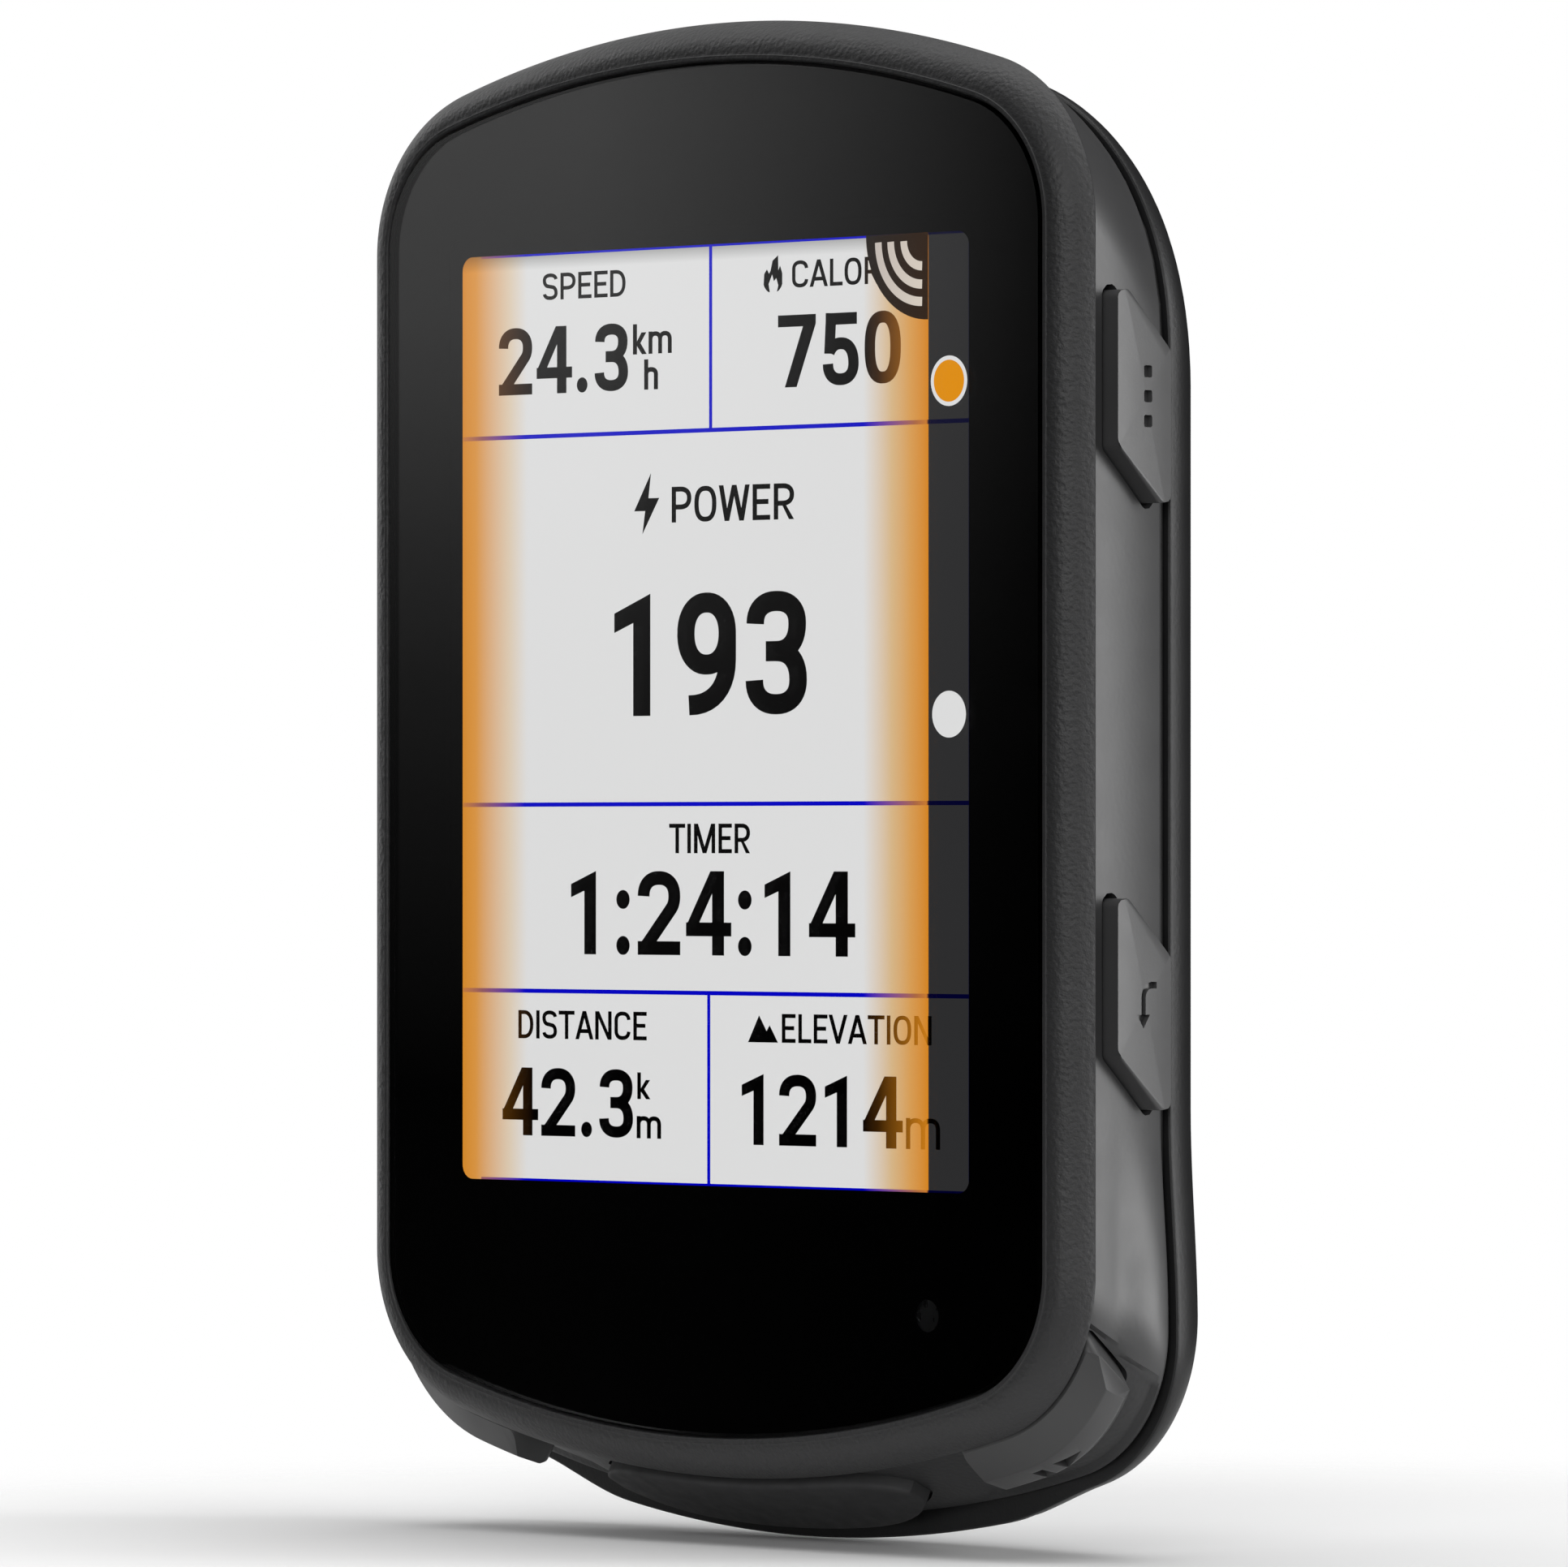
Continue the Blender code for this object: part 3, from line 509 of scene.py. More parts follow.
def clear_glass():
    """Cover glass with the faintest smudging in its gloss."""
    nodes = Nodes("glass_clear")
    nodes.feed("Roughness", nodes.spread(nodes.noise(60.0, 5.0), 0.45, 0.75, 0.0, 0.05))
    stops = [(0.0, (0.985, 0.99, 0.99)), (1.0, (1.0, 1.0, 1.0))]
    nodes.feed("Base Color", nodes.ramp(nodes.noise(20.0), stops))
    nodes.hold("Transmission Weight", 1.0)
    nodes.hold("IOR", 1.5)
    return nodes.material


def black_ink():
    nodes = Nodes("border_ink")
    nodes.mottled(300.0, (0.0012, 0.0012, 0.0013), (0.002, 0.002, 0.0022), 3.0)
    nodes.glossed(700.0, 0.55, 0.05)
    nodes.hold("Specular IOR Level", 0.0)
    return nodes.material


def tone(red, green=None, blue=None):
    """Linear colour from display values up to 255; a single value gives a grey."""
    values = (red, red, red) if green is None else (red, green, blue)
    return tuple((value / 255) ** 2.2 for value in values)


def glowing(nodes, colour, strength):
    """Makes the material give off the colour and reflect next to nothing."""
    nodes.feed("Emission Color", colour)
    nodes.hold("Emission Strength", strength)
    nodes.hold("Base Color", (0.0, 0.0, 0.0, 1.0))
    nodes.hold("Specular IOR Level", 0.0)


def lit(name, stops, painted_top_shadow=False):
    """Screen graphics that give off light. Each stop is (x, colour), from left to right. The top edge can be
    darkened as a painted shadow.
    """
    nodes = Nodes(name)
    half = SCREEN_HALF_WIDTH
    across = nodes.spread(nodes.axis("X"), -half / 1000, half / 1000, 0.0, 1.0)
    colour = nodes.ramp(across, [((x + half) / (2 * half), shown) for x, shown in stops])
    if painted_top_shadow:
        # Painted shadow of the window's top edge: the colour falls to half over the top 0.9 mm.
        top = (SCREEN_MIDDLE + SCREEN_HALF_HEIGHT) / 1000
        colour = nodes.scaled(colour, nodes.spread(nodes.axis("Z"), top - 0.0009, top, 1.0, 0.5))
    glowing(nodes, colour, SCREEN_STRENGTH)
    nodes.hold("Roughness", 0.6)
    return nodes.material


def housing_plastic():
    """Satin band whose underside, below the corner pockets, has the bezel's darker leathery grain."""
    nodes = Nodes("housing_satin")
    slope = SLANT + POCKET_TILT
    slanted = nodes.math("ADD", nodes.axis("Z"), nodes.math("MULTIPLY", nodes.axis("Y"), slope))
    edge = (POCKET_TOP + 0.3 + SCREEN_MIDDLE + slope * (GLASS_FACE + CREASE_DEPTH)) / 1000
    below = nodes.spread(slanted, edge - 0.0002, edge + 0.0001, 1.0, 0.0)
    colour = nodes.ramp(below, [(0.0, SATIN_GREY), (1.0, GRAIN_GREY)])
    patchy = nodes.spread(nodes.noise(180.0, 4.0), 0.3, 0.7, 0.94, 1.06)
    nodes.feed("Base Color", nodes.scaled(colour, patchy))
    gloss = nodes.spread(below, 0.0, 1.0, 0.38, 0.52)
    uneven = nodes.spread(nodes.noise(420.0), 0.3, 0.7, -0.02, 0.02)
    nodes.feed("Roughness", nodes.math("ADD", gloss, uneven))
    depth = nodes.spread(below, 0.0, 1.0, 0.12, 1.0)
    nodes.bump(nodes.math("MULTIPLY", nodes.cells(1000 / 0.28), depth), 0.5, 0.05)
    return nodes.material


GRAIN_GREY = (0.029, 0.029, 0.03)
SATIN_GREY = (0.052, 0.052, 0.053)
BEZEL = grained_plastic("bezel_grain", GRAIN_GREY, 0.5, 0.8, 0.26)
BAND = housing_plastic()
# Painted shade: the rear cover is the same grey plastic as the band, given a far darker colour to stand in
# for the shade on the back of the case.
COVER_PAINTED_SHADE = grained_plastic("cover_satin_painted_shade", (0.011, 0.011, 0.0115), 0.45, 0.2, 0.2, 0.35)
CAP = grained_plastic("button_satin", (0.056, 0.056, 0.057), 0.4, 0.05, 0.14)
SIDE_CAP = grained_plastic("side_button_satin", (0.074, 0.074, 0.075), 0.38, 0.05, 0.14)
MOULDED = grained_plastic("insert_moulded", (0.012, 0.012, 0.0125), 0.42, 0.15, 0.25)
BLACK_RUBBER = rubber("rubber_black", (0.012, 0.012, 0.012))
FLAP_RUBBER = rubber("rubber_flap", (0.03, 0.03, 0.031))
STEEL = metal("screw_black_oxide", (0.03, 0.03, 0.032), (0.07, 0.07, 0.075), 0.35)
TINNED = metal("tinned_metal", (0.55, 0.55, 0.54), (0.72, 0.72, 0.7), 0.3)
GLASS = clear_glass()
INK = black_ink()


# ---------------------------------------------------------------- body

def arc_profile(start, end, turn, count):
    """Convex curve between two (offset, depth) points that starts along the offset axis and turns away."""
    points = []
    full = math.radians(turn)
    for step in range(count + 1):
        angle = full * step / count
        offset = start[0] + (end[0] - start[0]) * math.sin(angle) / math.sin(full)
        depth = start[1] + (end[1] - start[1]) * (1 - math.cos(angle)) / (1 - math.cos(full))
        points.append((offset, depth))
    return points


def front_bezel():
    """Convex frame with a narrow flat rim around the glass and a sharp crease at its outer edge."""
    rear = HOUSING_FRONT - 0.15
    profile = [(-1.6, rear), (-1.6, 1.25), (0.2, 1.25), (0.2, 0.2), (0.24, 0.1), (0.32, 0.05)]
    profile += [(0.5, 0.05), (0.53, 0.1)]
    profile += arc_profile((0.57, 0.12), (CREASE_OFFSET, CREASE_DEPTH), 62.0, 18)
    profile += [(CREASE_OFFSET - 0.02, CREASE_DEPTH + 0.08), (CREASE_OFFSET - 0.1, CREASE_DEPTH + 0.16)]
    profile += [(CREASE_OFFSET - 0.3, rear - 0.02), (CREASE_OFFSET - 0.45, rear)]
    rings = [ring(body_outline(offset), depth) for offset, depth in profile]
    obj = shade(loft("bezel", rings, BEZEL, closed=True))
    return finished(obj, ["front_bezel"])


def band_offset(depth):
    """How far the side band stands out from the glass outline: full near the crease, drawn in behind."""
    return 2.0 - 0.5 * rearward(depth) ** 2.5


def side_housing():
    depths = [HOUSING_FRONT + (7.72 - HOUSING_FRONT) * step for step in steps(22, last=True)]
    depths += [7.78, 7.86, 7.94, 8.02, 8.1, 8.16, HOUSING_REAR]
    rings = []
    for depth in depths:
        edge = 0.08 * smooth((depth - 8.05) / 0.15)
        shape = flared(body_outline(band_offset(depth) - edge, depth=depth), FLARE * smooth((depth - 4) / 4))
        pocket = POCKET_DEPTH * (1 - smooth((depth - 7.7) / 0.3))
        rings.append(ring(pocketed(shape, pocket, depth), depth))
    rings.append(ring(body_outline(1.75 - WALL, depth=HOUSING_REAR), HOUSING_REAR))
    rings.append(ring(body_outline(1.9 - WALL), HOUSING_FRONT))
    obj = loft("side_band", rings, BAND, closed=True)
    for side in (-1, 1):
        for middle in side_button_heights(side):
            shape = side_button_shape(middle, BUTTON_GAP)
            cut(obj, side_prism("opening", shape, side, (24.0, 30.0)))
        opening = corner_prism("opening", side, corner_button_shape(BUTTON_GAP), (-4.0, 6.0))
        slant_end(opening, side, BUTTON_GAP)
        cut(obj, opening)
    cut(obj, usb_layers("seat", 0.15, [(-0.5, 0.0), (2.5, 0.0)]))
    port = rectangle(-4.9, 4.9, 4.7, 8.0, 1.5)
    cut(obj, upright("port", port, (-46.0, -40.0)))
    return finished(shade(obj, 28.0), ["side_housing"])


def cover_ring(turn, inward=0.0, bulge=COVER_BULGE, rim=COVER_RIM, lip=LIP_DROP):
    """Ring of the rear cover at an angle from its rim (0) to its flat back (90 degrees)."""
    share = 1 - math.cos(math.radians(turn))
    depth = rim + bulge * math.sin(math.radians(turn))
    offset = 1.75 - inward - (SIDE_INSET - inward * 0.5) * share
    top = 1.75 - inward - (TOP_INSET - inward) * share
    bottom = 1.75 - inward - (BOTTOM_INSET - inward) * share
    shape = body_outline(offset, top, bottom, corner=8.75 - inward, depth=COVER_RIM)
    shape = dropped(flared(shape, FLARE * (1 - share)), lip * (1 - share) ** 2)
    return [place(x, depth, y + slide_down(COVER_RIM, y)) for x, y in shape]


CASE_SCREWS = ((17.5, 24.0), (-17.5, 24.0), (12.8, -34.3), (-12.8, -34.3))


def rear_cover():
    flat = COVER_RIM + COVER_BULGE
    inner_bulge = flat - COVER_WALL - COVER_FRONT
    rings = [cover_ring(turn, WALL, inner_bulge, COVER_FRONT, 0.0) for turn in range(90, -1, -10)]
    rim = [(0.25, 0.0), (0.1, 0.03), (0.02, 0.11), (0.0, 0.2)]
    rings += [cover_ring(0, inward, 0.0, COVER_FRONT + depth) for inward, depth in rim]
    rings += [cover_ring(turn) for turn in range(0, 91, 3)]
    obj = loft("back_shell", rings, COVER_PAINTED_SHADE)
    for x, y in CASE_SCREWS:
        join(obj, plate("boss", circle(x, y, 3.2), (COVER_FRONT + 0.1, 12.7)))
    for side in (-1, 1):
        middle = (side * MOUNT_SCREW_SPACING / 2, MOUNT_HEIGHT)
        join(obj, plate("boss", circle(*middle, 2.4), (11.7, flat - COVER_WALL / 2)))
        cut(obj, plate("hole", circle(*middle, 1.15), (12.2, flat + 1)))
        slot = rectangle(side * 16.4 - 0.5, side * 16.4 + 0.5, -48.0, -43.4)
        cut(obj, plate("tether", slot, (9.07, 10.23)))
    for x, y in CASE_SCREWS:
        cut(obj, plate("well", circle(x, y, 2.35), (11.6, flat + 2)))
        cut(obj, plate("hole", circle(x, y, 1.25), (8.0, 12.0)))
    cut(obj, plate("vent", circle(-20.0, -12.0, 0.6, 24), (9.0, flat + 1)))
    return finished(shade(obj, 30.0), ["rear_cover"])


def window_frame(name, half_width, half_height, layer):
    """Ink over the whole pane, with openings for the screen and the light sensor."""
    ink = plate(name, body_outline(-0.05), layer, INK)
    through = (layer[0] - 1, layer[1] + 1)
    opening = rectangle(-half_width, half_width, -half_height, half_height, SCREEN_CORNER)
    cut(ink, plate("window", opening, through))
    cut(ink, plate("window", circle(*SENSOR, SENSOR_RADIUS), through))
    return finished(ink)


def cover_glass():
    """Clear pane, the black ink on its back, and the mask around the screen."""
    profile = [(-1.0, 0.0), (0.0, 0.0), (0.0, GLASS_THICKNESS)]
    rings = [ring(body_outline(offset), depth) for offset, depth in profile]
    finished(shade(loft("glass_pane", rings, GLASS), 20.0), ["cover_glass"])
    wide, tall = SCREEN_HALF_WIDTH, SCREEN_HALF_HEIGHT
    window_frame("ink_border", wide + 1.0, tall + 1.0, (GLASS_THICKNESS + 0.015, GLASS_THICKNESS + 0.05))
    window_frame("screen_mask", wide, tall, (PAGE_DEPTH - 0.07, PAGE_DEPTH - 0.05))


# ---------------------------------------------------------------- buttons

def side_button_heights(side):
    return (17.1, -15.9) if side > 0 else (17.1, 0.6, -15.9)


def side_button_shape(middle, grow=0.0):
    """Leaning parallelogram of a side button, as (height, depth). Grow widens it whatever its sign."""
    half = SIDE_BUTTON_LENGTH / 2
    lean = SIDE_BUTTON_LEAN / 2
    longer = (half + 1.2 * grow) / half
    wider = abs(grow)
    corners = []
    for end, rear in ((-1, -1), (1, -1), (1, 1), (-1, 1)):
        height = (end * half - rear * lean) * longer - rear * wider / 2
        depth = SIDE_BUTTON_REAR if rear > 0 else SIDE_BUTTON_FRONT
        corners.append((middle + height, depth + rear * wider))
    return rounded(corners, max(0.55 + grow * 0.5, 0.2), 6)


def side_prism(name, shape, side, spans, material=None):
    rings = [[place(side * x, depth, height) for height, depth in shape] for x in spans]
    return loft(name, rings, material)


def corner_button_shape(grow=0.0):
    half = CORNER_BUTTON_HALF_LENGTH + grow
    front = CORNER_BUTTON_FRONT - (0.05 if grow else 0.0)
    rear = CORNER_BUTTON_REAR + grow
    corners = [(-half, front), (half, front), (half - 1.9, rear), (-half - 0.6, rear)]
    return rounded(corners, 0.5 + grow * 0.5, 6)


def corner_place(side, along, depth, out):
    """Point by its distance along a corner button and out of the body there."""
    x = CORNER_BUTTON_MIDDLE[0] - CORNER_BUTTON_OUT[1] * along + CORNER_BUTTON_OUT[0] * out
    y = CORNER_BUTTON_MIDDLE[1] + CORNER_BUTTON_OUT[0] * along + CORNER_BUTTON_OUT[1] * out
    return place(side * x, depth, y)


def corner_prism(name, side, shape, reach, material=None):
    rings = [[corner_place(side, along, depth, out) for along, depth in shape] for out in reach]
    return loft(name, rings, material)


def dots_mark():
    """Three small squares in a row: the menu mark, as polygons of (along, across)."""
    return [rectangle(-0.35, 0.35, y - 0.33, y + 0.33, 0.12, 3) for y in (-1.35, 0.0, 1.35)]


def stroke(points, width):
    """A band of even width along a line of points, with mitred corners."""
    points = [Vector(point) for point in points]
    directions = [(b - a).normalized() for a, b in zip(points, points[1:])]
    left, right = [], []
    for i, point in enumerate(points):
        before = directions[max(i - 1, 0)].orthogonal()
        after = directions[min(i, len(directions) - 1)].orthogonal()
        normal = (before + after).normalized()
        reach = normal * width / 2 / max(normal.dot(before), 0.4)
        left.append(tuple(point + reach))
        right.append(tuple(point - reach))
    return left + right[::-1]


def arc(x, y, radius, start, end, count=16):
    turns = [math.radians(start + (end - start) * i / count) for i in range(count + 1)]
    return [(x + radius * math.cos(turn), y + radius * math.sin(turn)) for turn in turns]


def back_mark():
    """Arrow that curves back on itself."""
    shaft = [(0.75, 1.05)] + arc(0.3, 0.35, 0.7, 90, 180, 10) + [(-0.4, -0.6)]
    head = [(-0.95, -0.55), (0.15, -0.55), (-0.4, -1.3)]
    return [stroke(shaft, 0.36), head]


def power_mark():
    return [stroke(arc(0, -0.1, 0.85, 130, 410, 28), 0.34), rectangle(-0.17, 0.17, 0.15, 1.25)]


def triangle_mark(direction):
    return [[(-0.85, -0.5 * direction), (0.85, -0.5 * direction), (0.0, 0.75 * direction)]]


def play_mark():
    """Triangle and bar: start and stop, as (along, across)."""
    return [[(-0.3, -0.75), (-0.3, 0.75), (1.0, 0.0)], rectangle(-1.5, -0.95, -0.7, 0.7)]


def lap_mark():
    return [stroke(arc(0, 0, 0.8, 20, 320, 28), 0.34), [(0.35, 0.1), (1.3, 0.1), (0.82, 0.85)]]


def side_button_face(depth):
    """Distance from the middle plane to the crowned face of a side button."""
    share = (depth - SIDE_BUTTON_FRONT) / (SIDE_BUTTON_REAR - SIDE_BUTTON_FRONT)
    return SIDE_BUTTON_FACE - BUTTON_CROWN * share * share


def side_button_cap(name, side, middle):
    """Cap with rounded edges and a crowned face, as rings that close in over the face."""
    rings = [[place(side * 25.2, depth, height) for height, depth in side_button_shape(middle)]]

    def add_ring(shape, sunk=0.0):
        rings.append([
            place(side * (side_button_face(depth) - sunk), depth, height) for height, depth in shape
        ])

    for step in steps(5, last=True):
        turn = math.radians(90 * step)
        shape = side_button_shape(middle, -BUTTON_EDGE * (1 - math.cos(turn)))
        add_ring(shape, BUTTON_EDGE * (1 - math.sin(turn)))
    centre = (SIDE_BUTTON_FRONT + SIDE_BUTTON_REAR) / 2
    for share in (0.8, 0.6, 0.4, 0.2, 0.04):
        add_ring([
            (middle + (height - middle) * share, centre + (depth - centre) * share)
            for height, depth in shape
        ])
    return loft(name + "_cap", rings, SIDE_CAP)


def side_button(name, side, middle, mark):
    """Crowned cap on a hidden flange, with an engraved mark."""
    cap = side_button_cap(name, side, middle)
    join(cap, side_prism("flange", side_button_shape(middle, 0.6), side, (25.0, 25.5)))
    depth_middle = (SIDE_BUTTON_FRONT + SIDE_BUTTON_REAR) / 2 + 0.2
    for polygon in mark:
        spans = []
        for x in (SIDE_BUTTON_FACE - 0.5, SIDE_BUTTON_FACE + 0.5):
            spans.append([place(side * x, depth_middle + side * a, middle + b) for a, b in polygon])
        cut(cap, loft("mark", spans))
    finished(shade(cap, 30.0), [name + "_button"], name + "_key")


def corner_skin(name):
    profile = [(1.5, 2.35), (2.1, 2.4), (2.25, 2.5), (3.25, 3.52), (3.32, 3.56), (3.4, 3.555)]
    profile += [(4.9, 3.21), (5.05, 3.15), (5.2, 3.02), (6.5, 1.9)]
    return loft(name, [ring(body_outline(offset), depth) for depth, offset in profile])


def slant_end(obj, side, margin=0.0):
    """Slices a slanted facet on the upper end of a corner button, or of its opening with some margin."""
    corners = ((5.82, 2.35, 0.01), (4.58, 3.3, 1.66), (3.8, 5.0, 2.33))
    points = [corner_place(side, along + margin, depth, out) for along, depth, out in corners]
    normal = (points[1] - points[0]).cross(points[2] - points[0]).normalized()
    if normal.dot(corner_place(side, 9.0, CORNER_BUTTON_REAR, 9.0) - points[0]) < 0:
        normal.negate()
    shape = bmesh.new()
    shape.from_mesh(obj.data)
    everything = shape.verts[:] + shape.edges[:] + shape.faces[:]
    halves = bmesh.ops.bisect_plane(
        shape, geom=everything, plane_co=points[0], plane_no=normal, clear_outer=True
    )
    edges = [part for part in halves["geom_cut"] if isinstance(part, bmesh.types.BMEdge)]
    bmesh.ops.edgeloop_fill(shape, edges=edges)
    bmesh.ops.recalc_face_normals(shape, faces=shape.faces)
    shape.to_mesh(obj.data)
    shape.free()


def corner_button(name, side, mark):
    """Ridged bar round a lower corner with an engraved mark on its rear face."""
    cap = corner_prism(name + "_cap", side, corner_button_shape(), (-2.1, 6.0), CAP)
    combine(cap, corner_skin("skin"), "INTERSECT")
    join(cap, corner_prism("stem", side, rectangle(-1.0, 1.0, 4.75, 5.7), (-4.2, -1.0)))
    slant_end(cap, side)
    for polygon in mark:
        turned = [(-1.35 + 1.35 * a, 4.55 - b * 0.75) for a, b in polygon]
        cut(cap, corner_prism("mark", side, turned, (1.9, 6.0)))
    bevel(cap, 0.1, 3, 38.0)
    finished(shade(cap, 32.0), [name + "_button"], name + "_key")


def buttons():
    right = (("menu", dots_mark()), ("back", back_mark()))
    left = (("power", power_mark()), ("scroll_up", triangle_mark(1)), ("scroll_down", triangle_mark(-1)))
    for side, items in ((1, right), (-1, left)):
        for (name, mark), middle in zip(items, side_button_heights(side)):
            side_button(name, side, middle, mark)
    corner_button("start_stop", 1, play_mark())
    corner_button("lap", -1, lap_mark())


# ---------------------------------------------------------------- port flap, mount and screws

def usb_point(x, depth, lift):
    """A point over the slanted underside of the housing, lifted off it by the given amount."""
    radius = END_RADIUS + 1.9
    sag = radius - math.sqrt(radius**2 - x * x)
    height = GLASS_BOTTOM - 1.85 + sag + slide_down(depth, GLASS_BOTTOM)
    length = math.hypot(1.0, SLANT)
    return place(x, depth - lift * SLANT / length, height - lift / length)


def usb_layers(name, margin, layers, material=None, count=36):
    """Lens-shaped flap over the port. Each layer is (height over the surface, how much smaller it is)."""
    rings = []
    middle = (USB_CAP_FRONT + USB_CAP_REAR) / 2
    for lift, smaller in layers:
        grow = margin - smaller
        half_length = USB_CAP_HALF_LENGTH + grow
        half_width = (USB_CAP_REAR - USB_CAP_FRONT) / 2 + grow
        front, rear = [], []
        for step in range(count + 1):
            turn = math.pi * step / count
            x = -half_length * math.cos(turn)
            share = abs(x) / half_length
            half = half_width * (1 - 0.75 * share**6)
            front.append(usb_point(x, middle - half, lift))
            rear.append(usb_point(x, middle + half, lift))
        rings.append(front + rear[::-1])
    total = len(rings[0])
    faces = []
    for level in (0, len(rings) - 1):
        for i in range(total // 2 - 1):
            quad = (i, i + 1, total - 2 - i, total - 1 - i)
            faces.append(tuple(level * total + k for k in quad))
    for level in range(len(rings) - 1):
        for i in range(total):
            j = (i + 1) % total
            low, high = level * total, (level + 1) * total
            faces.append((low + i, low + j, high + j, high + i))
    return new_object(name, [p for one in rings for p in one], faces, material)


def usb_cap():
    layers = [(-0.3, 0.0), (0.6, 0.0)]
    for step in range(1, 7):
        turn = math.radians(15 * step)
        layers.append((0.6 + 0.3 * math.sin(turn), 0.3 * (1 - math.cos(turn))))
    obj = usb_layers("port_flap", 0.0, layers, FLAP_RUBBER)
    plug = rectangle(-3.6, 3.6, 5.5, 7.3, 0.5)
    join(obj, upright("plug", plug, (-44.3, -42.55)))
    return finished(shade(obj), ["usb_cap"], "usb_flap")


def mount_insert():
    """Round neck with two tabs, in black moulded plastic with softened edges."""
    def shape(reach_more, smaller):
        points = []
        for i in range(240):
            turn = math.radians(1.5 * i)
            from_side = abs((math.degrees(turn) + 90) % 180 - 90)
            blend = smooth((MOUNT_TAB_HALF_ANGLE + 2.5 - from_side) / 5)
            reach = MOUNT_NECK_RADIUS + reach_more * blend - smaller
            points.append((reach * math.cos(turn), MOUNT_HEIGHT + reach * math.sin(turn)))
        return points

    tab = MOUNT_TAB_RADIUS - MOUNT_NECK_RADIUS
    rear = -GLASS_FACE
    levels = [(COVER_RIM + COVER_BULGE + 0.15, 0.0, 0.0), (MOUNT_TAB_DEPTH - 0.2, 0.0, 0.0)]
    levels += [(MOUNT_TAB_DEPTH - 0.05, 0.05, 0.0), (MOUNT_TAB_DEPTH, tab - 0.2, 0.0)]
    levels += [(MOUNT_TAB_DEPTH + 0.06, tab - 0.05, 0.0), (MOUNT_TAB_DEPTH + 0.2, tab, 0.0)]
    for step in range(7):
        turn = math.radians(15 * step)
        levels.append((rear - 0.4 + 0.4 * math.sin(turn), tab, 0.4 * (1 - math.cos(turn))))
    rings = [[place(x, depth, y) for x, y in shape(more, smaller)] for depth, more, smaller in levels]
    obj = loft("quarter_turn_insert", rings, MOULDED)
    for side in (-1, 1):
        x = side * MOUNT_SCREW_SPACING / 2
        cut(obj, plate("hole", circle(x, MOUNT_HEIGHT, 1.25), (14.0, 20.0)))
        cut(obj, plate("well", circle(x, MOUNT_HEIGHT, 2.35), (18.1, 20.5)))
    return finished(shade(obj, 30.0), ["mount_insert"])


def screw(name, x, height, head, tip, node):
    """Black screw with a domed head and a six-lobed socket."""
    head_front, head_rear = head
    levels = [(tip, 0.6), (tip + 0.5, 1.0), (head_front, 1.0), (head_front, 1.95), (head_front + 0.05, 2.0)]
    levels += [(head_rear - 0.4, 2.0)]
    for step in range(1, 6):
        turn = math.radians(18 * step)
        levels.append((head_rear - 0.4 + 0.4 * math.sin(turn), 2.0 - 0.5 * (1 - math.cos(turn))))
    rings = [[place(cx, depth, cy) for cx, cy in circle(x, height, radius, 36)] for depth, radius in levels]
    obj = loft(name, rings, STEEL)
    lobes = []
    for i in range(72):
        turn = math.radians(5 * i)
        radius = 0.86 + 0.13 * math.cos(6 * turn)
        lobes.append((x + radius * math.cos(turn), height + radius * math.sin(turn)))
    cut(obj, plate("socket", lobes, (head_rear - 0.6, head_rear + 0.5)))
    return finished(shade(obj), [node])


def screws():
    for i, (x, y) in enumerate(CASE_SCREWS):
        screw(f"case_bolt_{i + 1}", x, y, (11.75, 12.7), 5.2, f"case_screw_{i + 1}")
    for i, side in enumerate((-1, 1)):
        x = side * MOUNT_SCREW_SPACING / 2
        screw(f"insert_bolt_{i + 1}", x, MOUNT_HEIGHT, (18.25, 19.2), 12.5, f"mount_screw_{i + 1}")


# ---------------------------------------------------------------- screen

# Generic readings: text, left and right limits, bottom and top of its capitals, and its stroke.
BOLD = 0.164
BOLD_UNIT = 0.155
REGULAR = 0.14
READINGS = (
    ("SPEED", -13.5, -6.8, 23.6, 25.1, REGULAR),
    ("24.3", -17.1, -6.6, 18.3, 22.1, BOLD),
    ("k", -6.2, -5.1, 20.3, 22.0, BOLD_UNIT),
    ("m", -4.95, -3.1, 20.3, 21.55, BOLD_UNIT * 1.3),
    ("h", -5.3, -4.2, 18.3, 20.0, BOLD_UNIT),
    ("CALORIES", 6.4, 16.3, 23.6, 25.1, REGULAR),
    ("750", 5.3, 14.8, 18.1, 22.1, BOLD),
    ("POWER", -3.1, 6.55, 10.8, 12.8, REGULAR),
    ("193", -7.7, 7.55, 0.0, 6.85, BOLD),
    ("TIMER", -3.3, 3.1, -7.7, -6.05, REGULAR),
    ("1:24:14", -11.2, 11.3, -13.4, -8.7, BOLD),
    ("DISTANCE", -15.5, -5.1, -18.2, -16.6, REGULAR),
    ("42.3", -16.8, -6.2, -23.7, -19.85, BOLD),
    ("k", -5.85, -4.8, -21.5, -20.0, BOLD_UNIT),
    ("m", -5.9, -3.95, -23.7, -22.45, BOLD_UNIT * 1.3),
    ("ELEVATION", 5.6, 17.15, -18.2, -16.6, REGULAR),
    ("1214", 2.45, 14.95, -23.9, -19.95, BOLD),
    ("m", 15.2, 17.8, -23.9, -22.2, BOLD_UNIT),
)
